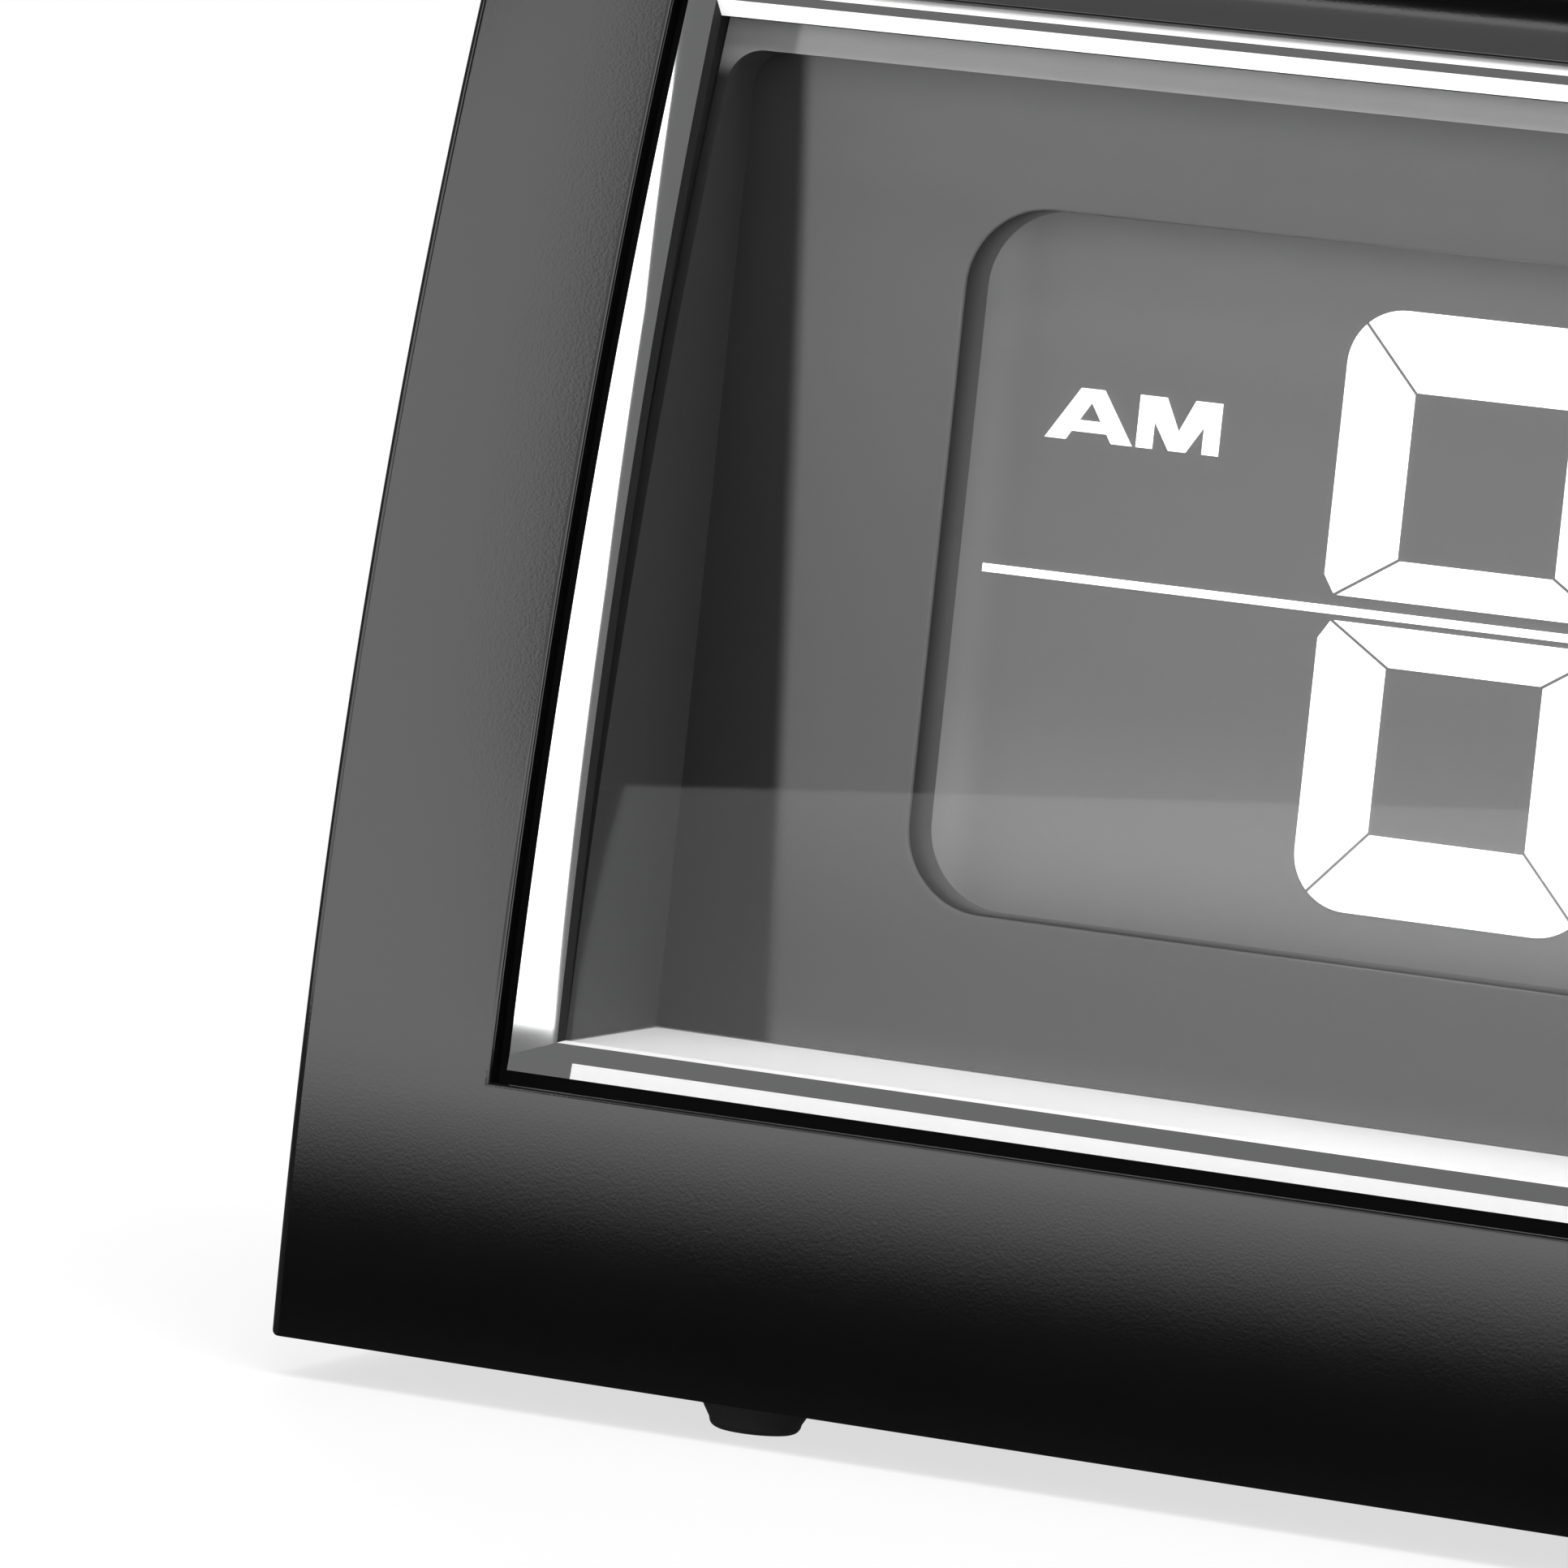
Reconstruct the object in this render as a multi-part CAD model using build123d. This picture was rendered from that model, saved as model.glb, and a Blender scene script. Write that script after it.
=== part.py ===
from build123d import *
import os
from math import sqrt

# Case: a sleeve with a curved front that leans back, closed from behind by a rear cover
case_width = 166.0
case_depth = 66.0
case_height = 95.5
case_wall = 2.4
front_radius = 250.0         # the front is an arc about an axis along X
front_axis_height = 7.25     # that axis over the underside of the case
crown_radius = 10.0          # front rounding into the flat top
end_edge_radius = 0.6
overrun = 2.0                # how far a cut runs past what it cuts

# Rear cover: back plate, skirt and a lip that enters the case
cover_depth = 12.0
cover_wall = 3.0
cover_edge_radius = 3.0
lip_fit = 0.2
lip_wall = 1.4
lip_length = 3.0

# Screw posts that join the cover to the case
post_radius = 4.0
post_length = 26.0
post_rise = 13.0             # lower posts over the underside, upper posts under the top
post_web = 2.0
screw_radius = 1.3
screw_fit = 0.05
screw_head_radius = 2.8
screw_head_height = 1.8
screw_bite = 12.0
screw_seat = 3.0             # tower floor under the screw head
head_fit = 0.4

# Feet: tapered rubber pads
foot_height = 2.5
foot_top_radius = 4.0
foot_base_radius = 2.9
foot_edge_radius = 0.5
foot_inset = 29.6            # foot centre inside the end of the case
foot_front_setback = 8.7
foot_rear_setback = 7.3

# Window recess: the display panel stands upright behind the leaning front
window_sill = 20.5           # recess floor over the underside of the case
window_brow = 11.0           # recess ceiling under the top of the case
window_margin = 16.6         # recess inside each end of the case
panel_setback = 18.7         # panel face behind the foremost line of the front

# Bright bezel round the window
rim_side = 2.05
rim_bottom = 2.0
rim_top = 2.3
rim_proud = 0.2
rim_bevel = 0.55
rim_inner_bevel = 0.35
lip_draft = 1.0              # how far the bezel's upper inner wall opens towards the front
shadow_gap = 0.8
flange_reach = 2.0
flange_thickness = 1.6
flange_fit = 0.1

# Lens: a curved clear sheet inside the bezel
lens_setback = 1.0
lens_thickness = 1.6
lens_fit = 0.1

# Mask tray: panel, two cheeks and a brow that carry the lens
tray_plate = 1.6
tray_cheek = 0.7
tray_fit = 0.1
tray_brow = 1.5
tray_corner = 2.1
tray_seat = 0.05
cutout_margin = 15.4         # cut-out inside each end of the panel
cutout_rise = 9.8            # cut-out inside the panel's lower and upper edges
cutout_corner = 5.2
cutout_depth = 4.45
collar_wall = 1.4

# Display stack behind the cut-out, from the viewer inwards
lcd_margin = 5.0
lcd_sheet = 1.1
lcd_ledge = 6.0
guide_thickness = 3.0
led_bar_width = 2.4
led_fit = 0.2
reflector_thickness = 0.3
zebra_width = 2.2
zebra_margin = 6.0
zebra_rise = 1.6
holder_fit = 0.2
holder_wall = 2.4

# Main board with what stands on it
board_thickness = 1.6
board_gap = 0.05
board_margin = 1.4
board_post_radius = 2.4
board_post_inset = 4.2       # board posts inside each end of the panel
board_post_rise = 6.0
small_screw_radius = 0.9
small_head_radius = 2.0
small_head_height = 1.4
small_screw_bite = 5.0
chip_radius = 7.0
chip_height = 2.4
chip_rise = 13.0
chip_dome_share = 0.9
crystal_radius = 1.6
crystal_length = 8.0
crystal_x = -18.0
crystal_rise = 44.0
capacitor_radius = 3.2
capacitor_height = 11.0
capacitor_x = 12.0
capacitor_pitch = 9.0
capacitor_rise = 14.0
socket_width = 12.0
socket_depth = 4.0
socket_height = 5.0

# Snooze bar on the top, with its bracket, leaf springs and switch
snooze_length = 84.0
snooze_breadth = 15.0
snooze_y = 3.5               # centre line behind the middle of the case
snooze_proud = 1.6
snooze_edge_radius = 1.0
snooze_fit = 0.35
snooze_flange = 2.0
snooze_flange_height = 1.4
snooze_gap = 0.4
snooze_travel = 1.4
snooze_stem_x = 6.0
snooze_stem_y = 2.6
snooze_pin_radius = 1.5
snooze_pin_fit = 0.3
snooze_pin_inset = 5.0       # guide pins inside each end of the bar
snooze_pin_end = 0.6         # pin end below the bracket
bracket_reach = 12.0         # bracket past each end of the bar
bracket_thickness = 1.8
bracket_drop = 6.6           # bracket top below the inside of the top wall
bracket_boss_radius = 3.4
bracket_boss_inset = 4.2
bracket_window = 3.0
spring_thickness = 0.4
spring_breadth = 6.0
spring_near = 10.0
spring_inset = 5.0           # leaf end short of the guide pin
switch_width = 6.0
switch_depth = 3.6
switch_height = 5.0
switch_button = 1.2
switch_button_width = 2.6
switch_button_depth = 1.6
switch_gap = 0.1

# Set keys, alarm switch and power inlet on the rear cover
key_spare_share = 0.29       # of the spare width behind, how much lies beside the key board
key_row_rise = 62.0
key_pitch = 13.0
key_count = 4
key_radius = 3.3
key_fit = 0.25
key_flange = 1.0
key_flange_height = 1.0
key_gap = 0.1
key_sunk = 0.3               # key cap below the back face
key_edge_radius = 0.5
key_stem_radius = 1.6
key_stem_length = 1.2
key_travel = 0.8
recess_depth = 1.4
recess_margin = 4.0
recess_corner = 2.0
tact_size = 6.0
tact_height = 3.4
tact_button_radius = 1.7
tact_button_height = 0.8
key_board_width = 62.0
key_board_margin = 8.0
key_post_radius = 2.4
key_post_x = 28.0

slider_offset = -12.0        # from the middle of the key row
slider_row_rise = 44.0
slider_travel = 4.0
slider_cap_length = 6.0
slider_cap_height = 3.6
slider_neck_length = 3.0
slider_neck_height = 2.0
slider_fit = 0.25
slider_flange_length = 11.0
slider_flange_height = 4.6
slider_flange_depth = 1.0
slider_stem_length = 1.8
slider_stem_height = 1.4
slide_switch_length = 11.0
slide_switch_height = 5.0
slide_switch_depth = 4.6
slide_slot_depth = 1.8

inlet_offset = 18.0          # from the middle of the key row
inlet_block = 10.0
inlet_nose_radius = 4.6
inlet_fit = 0.2
inlet_sunk = 0.6
inlet_bore_radius = 3.2
inlet_bore_depth = 8.0
inlet_pin_radius = 1.05
inlet_pin_sunk = 1.0

# Buzzer behind its sound slots
buzzer_rise = 21.0
buzzer_radius = 11.0
buzzer_height = 6.0
buzzer_fit = 0.2
buzzer_ring_wall = 1.4
buzzer_ring_height = 4.0
sound_slot_width = 1.6
sound_slot_pitch = 3.4
sound_slot_lengths_shares = (0.55, 0.85, 1.0, 0.85, 0.55)
sound_slot_length = 14.0

# Battery bay for two round cells, with a hinged door
bay_spare_share = 0.3        # of the spare width behind, how much lies beside the bay
bay_rise = 50.0
bay_height = 34.0
bay_depth = 17.5
bay_wall = 1.6
door_thickness = 2.6
door_lap = 1.5
door_fit = 0.3
door_seat = 0.1
door_pin_radius = 0.7
door_pin_length = 1.4
door_pin_fit = 0.06
notch_length = 16.0
notch_height = 4.0
notch_depth = 1.8
door_rib_count = 5
door_rib_pitch = 3.0
door_rib_length = 16.0
door_rib_depth = 0.5
door_rib_width = 1.0
cell_radius = 7.1
cell_length = 49.2
cell_nub_radius = 2.7
cell_nub_length = 1.0
cell_gap = 0.3
cell_pitch = 15.2
contact_thickness = 0.5
contact_size = 9.0
contact_spring_depth = 7.3

# Leads and ribbon
lead_radius = 0.7
lead_bend_share = 0.2        # of the room between the bay and the main board
lead_inset = 4.0             # battery leads inside the bay's end
lead_step = 7.0              # and past it at the main board
buzzer_lead_bend = 3.5
buzzer_lead_run = 7.5
ribbon_width = 10.0
ribbon_thickness = 0.6
ribbon_bend = 2.0
ribbon_board_rise = 55.0

# Places that follow from the sizes above
case_bottom = foot_height
case_top = case_bottom + case_height
front_face = -case_depth / 2
back_face = case_depth / 2
parting = back_face - cover_depth
axis_y = front_face + front_radius
axis_z = case_bottom + front_axis_height
inner_half = case_width / 2 - case_wall
inner_top = case_top - case_wall
plate_inside = back_face - cover_wall
post_x = inner_half - 2 * lip_fit - lip_wall - post_radius
post_heights = (case_bottom + post_rise, case_top - post_rise)

panel_width = case_width - 2 * window_margin
panel_height = case_height - window_sill - window_brow
foot_x = case_width / 2 - foot_inset
sill = case_bottom + window_sill
panel_top = sill + panel_height
panel_y = front_face + panel_setback
panel_back = panel_y + tray_plate
tunnel_half = panel_width / 2 + tray_cheek + tray_fit
bezel_half = tunnel_half + rim_side
bezel_low = sill - rim_bottom
bezel_high = panel_top + rim_top

cutout_width = panel_width - 2 * cutout_margin
cutout_height = panel_height - 2 * cutout_rise
cutout_mid = sill + cutout_rise + cutout_height / 2
lcd_width = cutout_width + 2 * lcd_margin
lcd_height = cutout_height + 2 * lcd_margin
lcd_low = cutout_mid - lcd_height / 2
lcd_high = cutout_mid + lcd_height / 2
lcd_front = panel_y + cutout_depth
lcd_middle = lcd_front + lcd_sheet
lcd_back = lcd_middle + lcd_sheet
guide_back = lcd_back + guide_thickness
board_front = guide_back + reflector_thickness + board_gap
board_back = board_front + board_thickness
board_post_x = panel_width / 2 - board_post_inset
board_half = board_post_x + board_post_radius + board_margin
board_low = sill + board_margin
board_high = panel_top - board_margin
board_post_heights = (sill + board_post_rise, panel_top - board_post_rise)

snooze_floor = inner_top - snooze_gap - snooze_flange_height
bracket_top = inner_top - bracket_drop
bracket_low = bracket_top - bracket_thickness
bracket_length = snooze_length + 2 * bracket_reach
snooze_pin_x = snooze_length / 2 - snooze_pin_inset
spring_far = snooze_pin_x - spring_inset
bracket_boss_x = bracket_length / 2 - bracket_boss_inset
stem_y = board_back + switch_depth / 2
switch_top = board_high - switch_button
stem_low = switch_top + switch_button + snooze_travel + switch_gap

hollow_half = inner_half - lip_fit - lip_wall
bay_length = cell_length + cell_nub_length + contact_thickness + contact_spring_depth
bay_outer = bay_length + 2 * bay_wall
spare_width = 2 * hollow_half - bay_outer - key_board_width
key_mid_x = hollow_half - key_spare_share * spare_width - key_board_width / 2
bay_mid_x = bay_spare_share * spare_width + bay_outer / 2 - hollow_half
slider_x = key_mid_x + slider_offset
inlet_x = key_mid_x + inlet_offset
key_row = case_bottom + key_row_rise
slider_row = case_bottom + slider_row_rise
recess_floor = back_face - recess_depth
key_tip = back_face - key_sunk
key_flange_back = plate_inside - key_gap
key_flange_front = key_flange_back - key_flange_height
key_stem_end = key_flange_front - key_stem_length
tact_top = key_stem_end - key_travel - key_gap
tact_back = tact_top - tact_button_height
key_board_back = tact_back - tact_height
key_board_front = key_board_back - board_thickness
key_board_low = slider_row - key_board_margin
key_board_high = key_row + key_board_margin
key_post_z = (key_row + slider_row) / 2
key_places = [key_mid_x + (i - (key_count - 1) / 2) * key_pitch for i in range(key_count)]
buzzer_z = case_bottom + buzzer_rise

bay_mid = case_bottom + bay_rise
bay_floor = back_face - bay_depth
bay_low = bay_mid - bay_height / 2
bay_high = bay_mid + bay_height / 2
bay_left = bay_mid_x - bay_length / 2
bay_right = bay_mid_x + bay_length / 2
door_half = bay_length / 2 + door_lap
door_low = bay_low - door_lap
door_high = bay_high + door_lap
door_axis_y = back_face - door_thickness / 2
door_axis_z = door_low + door_thickness / 2
cell_y = bay_floor + cell_gap + cell_radius
cell_heights = (bay_mid + cell_pitch / 2, bay_mid - cell_pitch / 2)
cell_directions = (1, -1)

lead_start = bay_floor - bay_wall
lead_turn = (lead_start + board_back) / 2
lead_bend = lead_bend_share * (lead_start - board_back)
lead_wall_x = bay_right - lead_inset
lead_board_x = bay_right + lead_step
ribbon_start = board_back + socket_depth
ribbon_end = key_board_front - socket_depth


def span_box(x_range, y_range, z_range):
    """Block between two ends along each axis."""
    ranges = (x_range, y_range, z_range)
    middle = [(low + high) / 2 for low, high in ranges]
    size = [high - low for low, high in ranges]
    return Pos(*middle) * Box(*size)


def prism_x(outline, x_range):
    """Solid of an outline drawn in Y and Z, between two places along X."""
    plane = Plane(origin=(x_range[0], 0, 0), x_dir=(0, 1, 0), z_dir=(1, 0, 0))
    return extrude(plane * outline, amount=x_range[1] - x_range[0])


def prism_y(outline, y_range):
    """Solid of an outline drawn in X and Z, between two depths."""
    plane = Plane(origin=(0, y_range[1], 0), x_dir=(1, 0, 0), z_dir=(0, -1, 0))
    return extrude(plane * outline, amount=y_range[1] - y_range[0])


def prism_z(outline, z_range):
    """Solid of an outline drawn in X and Y, between two heights."""
    return extrude(Pos(0, 0, z_range[0]) * outline, amount=z_range[1] - z_range[0])


def rod_x(radius, x_range, y, z):
    return prism_x(Pos(y, z) * Circle(radius), x_range)


def rod_y(radius, y_range, x, z):
    return prism_y(Pos(x, z) * Circle(radius), y_range)


def rod_z(radius, z_range, x, y):
    return prism_z(Pos(x, y) * Circle(radius), z_range)


def front_y(height, inset=0):
    """Depth of the front, or of the surface that far behind it, at a height."""
    reach = front_radius - inset
    return axis_y - sqrt(reach**2 - (height - axis_z) ** 2)


def behind_front(inset):
    """All that lies behind the front, or behind the surface that far inside it."""
    return rod_x(front_radius - inset, (-case_width, case_width), axis_y, axis_z)


def case_section(inset, y_end):
    """Side view of the case: upright at the foot, leaning back, rounded into a flat top."""
    low = case_bottom + inset
    top = case_top - inset
    middle = (low + top) / 2
    ends = [(front_y(z, inset), z) for z in (low, middle, top)]
    front = ThreePointArc(*ends)
    rest = Polyline(ends[2], (y_end, top), (y_end, low), ends[0])
    section = make_face(front.edges() + rest.edges())
    crown = section.vertices().sort_by_distance((*ends[2], 0))[0]
    return fillet(crown, crown_radius - inset)


def opening_block(gap):
    """Straight passage for the bezel through the front wall, wider all round by a gap."""
    half = bezel_half + gap
    return span_box((-half, half), (front_face - overrun, panel_y), (bezel_low - gap, bezel_high + gap))


def tunnel_section(gap):
    """Side view of the window recess: level sill, upper wall opening towards the front."""
    mouth = front_face - overrun
    far = panel_back + overrun
    brow_y = front_y(panel_top)
    points = [
        (mouth, sill + gap),
        (far, sill + gap),
        (far, panel_top - gap),
        (panel_y, panel_top - gap),
        (brow_y, panel_top + lip_draft - gap),
        (mouth, panel_top + lip_draft - gap),
    ]
    return make_face(Polyline(*points, close=True).edges())


def tunnel(gap):
    half = tunnel_half - gap
    return prism_x(tunnel_section(gap), (-half, half))


def make_front_case():
    """Moulded sleeve: curved front with the window, top with the snooze slot, posts inside."""
    half = case_width / 2
    shell = prism_x(case_section(0, parting), (-half, half))
    ends = shell.faces().filter_by(Axis.X).edges()
    ends = ends.filter_by(lambda edge: edge.center().Y < parting - end_edge_radius)
    shell = fillet(ends, end_edge_radius)
    shell -= prism_x(case_section(case_wall, parting + overrun), (-inner_half, inner_half))
    shell -= opening_block(shadow_gap)
    slot_x = snooze_length / 2 + snooze_fit
    slot_y = snooze_breadth / 2 + snooze_fit
    depth = (snooze_y - slot_y, snooze_y + slot_y)
    shell -= span_box((-slot_x, slot_x), depth, (snooze_floor, case_top + overrun))
    web_end = parting - lip_length - lip_fit
    post_start = parting - post_length
    for side in (-1, 1):
        reach = sorted((side * post_x, side * (inner_half + case_wall / 2)))
        for z in post_heights:
            shell += rod_y(post_radius, (post_start, parting), side * post_x, z)
            shell += span_box(reach, (post_start, web_end), (z - post_web / 2, z + post_web / 2))
        boss_x = side * bracket_boss_x
        shell += rod_z(bracket_boss_radius, (bracket_top, inner_top + case_wall / 2), boss_x, snooze_y)
        pilot = small_screw_radius + screw_fit
        shell -= rod_z(pilot, (bracket_top - overrun, inner_top), boss_x, snooze_y)
    for x in (-post_x, post_x):
        for z in post_heights:
            pilot = screw_radius + screw_fit
            shell -= rod_y(pilot, (parting - screw_bite - overrun, parting + overrun), x, z)
    return shell


def bezel_blank(inset, reach):
    """Rectangle of the bezel, wider by a reach, behind a surface that follows the front."""
    half = bezel_half + reach
    depth = (front_face - overrun, panel_back)
    block = span_box((-half, half), depth, (bezel_low - reach, bezel_high + reach))
    return block & behind_front(inset)


def make_bezel():
    """Bright ring whose face follows the case front, with a skirt back to the panel and a hidden flange."""
    ring = bezel_blank(-rim_proud, 0) - tunnel(0)
    front = ring.faces().filter_by(GeomType.CYLINDER).sort_by(Axis.Y)[0]
    outer_edges = front.outer_wire().edges()
    ring = chamfer(outer_edges, rim_bevel)
    front = ring.faces().filter_by(GeomType.CYLINDER).sort_by(Axis.Y)[0]
    ring = chamfer(front.inner_wires()[0].edges(), rim_inner_bevel)
    seat = case_wall + flange_fit
    reach = shadow_gap + flange_reach
    half = bezel_half + reach
    flange = prism_x(case_section(seat, parting), (-half, half)) & bezel_blank(seat, reach)
    flange -= behind_front(seat + flange_thickness)
    return ring + (flange - tunnel(0))


def make_lens():
    """Curved clear sheet, seated on the mask tray's rim just behind the bezel's face."""
    sheet = behind_front(lens_setback) - behind_front(lens_setback + lens_thickness)
    return tunnel(lens_fit) & sheet


def cutout_outline(grow):
    shape = RectangleRounded(cutout_width + 2 * grow, cutout_height + 2 * grow, cutout_corner + grow)
    return Pos(0, cutout_mid) * shape


def make_mask_tray():
    """Dark tray: upright panel with the cut-out, cheeks and brow up to the lens, board posts."""
    seat = lens_setback + lens_thickness + tray_seat
    tray = tunnel(tray_fit) & behind_front(seat)
    tray &= span_box((-case_width, case_width), (front_face, panel_back), (case_bottom, case_top))
    hollow_top = panel_top - tray_brow
    hollow_low = sill - overrun
    hollow = Pos(0, (hollow_top + hollow_low) / 2) * Rectangle(panel_width, hollow_top - hollow_low)
    hollow = fillet(hollow.vertices().group_by(Axis.Y)[-1], tray_corner)
    tray -= prism_y(hollow, (front_face - overrun, panel_y))
    tray += prism_y(cutout_outline(collar_wall), (panel_y + tray_plate / 2, lcd_front))
    tray -= prism_y(cutout_outline(0), (panel_y - overrun, lcd_front + overrun))
    for x in (-board_post_x, board_post_x):
        for z in board_post_heights:
            tray += rod_y(board_post_radius, (panel_y + tray_plate / 2, board_front), x, z)
            pilot = small_screw_radius + screw_fit
            tray -= rod_y(pilot, (board_front - small_screw_bite, board_front + overrun), x, z)
    return tray


def lcd_plate(y_range, low):
    half = lcd_width / 2
    return span_box((-half, half), y_range, (low, lcd_high))


def make_lcd_holder():
    """Frame that gathers the glass, light guide and contact strip between tray and board."""
    inner_x = lcd_width / 2 + holder_fit
    inner_low = lcd_low - holder_fit
    inner_high = lcd_high + holder_fit
    depth = (panel_back, board_front)
    outer_x = inner_x + holder_wall
    frame = span_box((-outer_x, outer_x), depth, (inner_low - holder_wall, inner_high + holder_wall))
    passage = (panel_back - overrun, board_front + overrun)
    return frame - span_box((-inner_x, inner_x), passage, (inner_low, inner_high))


def guide_half():
    return lcd_width / 2 - led_bar_width - led_fit


def make_light_guide():
    half = guide_half()
    return span_box((-half, half), (lcd_back, guide_back), (lcd_low + lcd_ledge, lcd_high))


def make_reflector():
    half = guide_half()
    depth = (guide_back, guide_back + reflector_thickness)
    return span_box((-half, half), depth, (lcd_low + lcd_ledge, lcd_high))


def make_led_bars():
    """Two bars of lamps that light the guide from its ends."""
    near = guide_half() + led_fit
    far = lcd_width / 2
    bars = []
    for ends in ((-far, -near), (near, far)):
        bars.append(span_box(ends, (lcd_back, guide_back), (lcd_low + lcd_ledge, lcd_high)))
    return bars


def make_zebra_strip():
    half = lcd_width / 2 - zebra_margin
    low = lcd_low + zebra_rise
    return span_box((-half, half), (lcd_middle, board_front), (low, low + zebra_width))


def make_main_board():
    board = span_box((-board_half, board_half), (board_front, board_back), (board_low, board_high))
    for x in (-board_post_x, board_post_x):
        for z in board_post_heights:
            hole = small_screw_radius + screw_fit
            board -= rod_y(hole, (board_front - overrun, board_back + overrun), x, z)
    return board


def make_board_screws():
    screws = []
    for x in (-board_post_x, board_post_x):
        for z in board_post_heights:
            head = rod_y(small_head_radius, (board_back, board_back + small_head_height), x, z)
            shank = (board_front - small_screw_bite, board_back)
            screws.append(head + rod_y(small_screw_radius, shank, x, z))
    return screws


def make_chip_blob():
    """Low dome of resin over the clock chip."""
    dome = rod_y(chip_radius, (board_back, board_back + chip_height), 0, sill + chip_rise)
    return fillet(dome.edges().sort_by(Axis.Y)[-1], chip_height * chip_dome_share)


def make_crystal_can():
    ends = (crystal_x - crystal_length / 2, crystal_x + crystal_length / 2)
    return rod_x(crystal_radius, ends, board_back + crystal_radius, sill + crystal_rise)


def make_capacitors():
    cans = []
    for i in range(2):
        x = capacitor_x + i * capacitor_pitch
        depth = (board_back, board_back + capacitor_height)
        cans.append(rod_y(capacitor_radius, depth, x, sill + capacitor_rise))
    return cans


def make_snooze_switch():
    """Switch on the main board, pressed from above."""
    half = switch_width / 2
    body_low = switch_top - switch_height
    body = span_box((-half, half), (board_back, board_back + switch_depth), (body_low, switch_top))
    half = switch_button_width / 2
    depth = (stem_y - switch_button_depth / 2, stem_y + switch_button_depth / 2)
    return body + span_box((-half, half), depth, (switch_top, switch_top + switch_button))


def make_snooze_bar():
    """Long key in the top, with a flange below the wall, two guide pins and a stem over the switch."""
    half = snooze_length / 2
    depth = (snooze_y - snooze_breadth / 2, snooze_y + snooze_breadth / 2)
    top = case_top + snooze_proud
    bar = span_box((-half, half), depth, (snooze_floor, top))
    bar = fillet(bar.faces().sort_by(Axis.Z)[-1].edges(), snooze_edge_radius)
    half += snooze_flange
    depth = (depth[0] - snooze_flange, depth[1] + snooze_flange)
    bar += span_box((-half, half), depth, (snooze_floor, snooze_floor + snooze_flange_height))
    half = snooze_stem_x / 2
    depth = (stem_y - snooze_stem_y / 2, stem_y + snooze_stem_y / 2)
    bar += span_box((-half, half), depth, (stem_low, snooze_floor))
    for x in (-snooze_pin_x, snooze_pin_x):
        bar += rod_z(snooze_pin_radius, (bracket_low - snooze_pin_end, snooze_floor), x, snooze_y)
    return bar


def make_snooze_bracket():
    """Plate under the snooze bar that guides its pins and carries its springs."""
    half = bracket_length / 2
    breadth = snooze_breadth / 2 + snooze_flange
    plate = span_box((-half, half), (snooze_y - breadth, snooze_y + breadth), (bracket_low, bracket_top))
    through = (bracket_low - overrun, bracket_top + overrun)
    for side in (-1, 1):
        plate -= rod_z(snooze_pin_radius + snooze_pin_fit, through, side * snooze_pin_x, snooze_y)
        plate -= rod_z(small_screw_radius + screw_fit, through, side * bracket_boss_x, snooze_y)
    half = snooze_stem_x / 2 + bracket_window / 2
    window_y = snooze_stem_y / 2 + bracket_window / 2
    return plate - span_box((-half, half), (stem_y - window_y, stem_y + window_y), through)


def make_bracket_screws():
    screws = []
    for x in (-bracket_boss_x, bracket_boss_x):
        head = rod_z(small_head_radius, (bracket_low - small_head_height, bracket_low), x, snooze_y)
        shank = (bracket_low, bracket_low + small_screw_bite)
        screws.append(head + rod_z(small_screw_radius, shank, x, snooze_y))
    return screws


def make_snooze_springs():
    """Two bowed leaves between the bracket and the snooze bar."""
    half = spring_thickness / 2
    springs = []
    for side in (-1, 1):
        near = (side * spring_near, bracket_top + half)
        apex = (side * (spring_near + spring_far) / 2, snooze_floor - half)
        far = (side * spring_far, bracket_top + half)
        bow = trace(ThreePointArc(near, apex, far), spring_thickness)
        leaf = prism_y(bow, (snooze_y - spring_breadth / 2, snooze_y + spring_breadth / 2))
        room = span_box((-case_width, case_width), (front_face, back_face), (bracket_top, snooze_floor))
        springs.append(leaf & room)
    return springs


def slider_slot(length, height, y_range):
    """Slot with room for a part of the alarm slider over its whole travel."""
    half_x = (length + slider_travel) / 2 + slider_fit
    half_z = height / 2 + slider_fit
    ends_z = (slider_row - half_z, slider_row + half_z)
    return span_box((slider_x - half_x, slider_x + half_x), y_range, ends_z)


def rear_plate_cuts():
    """Recesses and holes for the keys, the alarm slider and the power inlet."""
    length = (key_count - 1) * key_pitch + 2 * (key_radius + recess_margin)
    height = 2 * (key_radius + recess_margin)
    out = back_face + overrun
    through = (plate_inside - overrun, out)
    recess = Pos(key_mid_x, key_row) * RectangleRounded(length, height, recess_corner)
    cuts = prism_y(recess, (recess_floor, out))
    for x in key_places:
        cuts += rod_y(key_radius + key_fit, through, x, key_row)
    length = slider_cap_length + slider_travel + recess_margin
    height = slider_cap_height + recess_margin
    recess = Pos(slider_x, slider_row) * RectangleRounded(length, height, recess_corner)
    cuts += prism_y(recess, (recess_floor, out))
    cuts += slider_slot(slider_neck_length, slider_neck_height, through)
    cuts += rod_y(inlet_nose_radius + inlet_fit, through, inlet_x, slider_row)
    for i, share in enumerate(sound_slot_lengths_shares):
        x = key_mid_x + (i - (len(sound_slot_lengths_shares) - 1) / 2) * sound_slot_pitch
        slot = SlotOverall(sound_slot_length * share, sound_slot_width, rotation=90)
        cuts += prism_y(Pos(x, buzzer_z) * slot, through)
    return cuts


def bay_box(grow, y_range):
    return span_box((bay_left - grow, bay_right + grow), y_range, (bay_low - grow, bay_high + grow))


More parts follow.
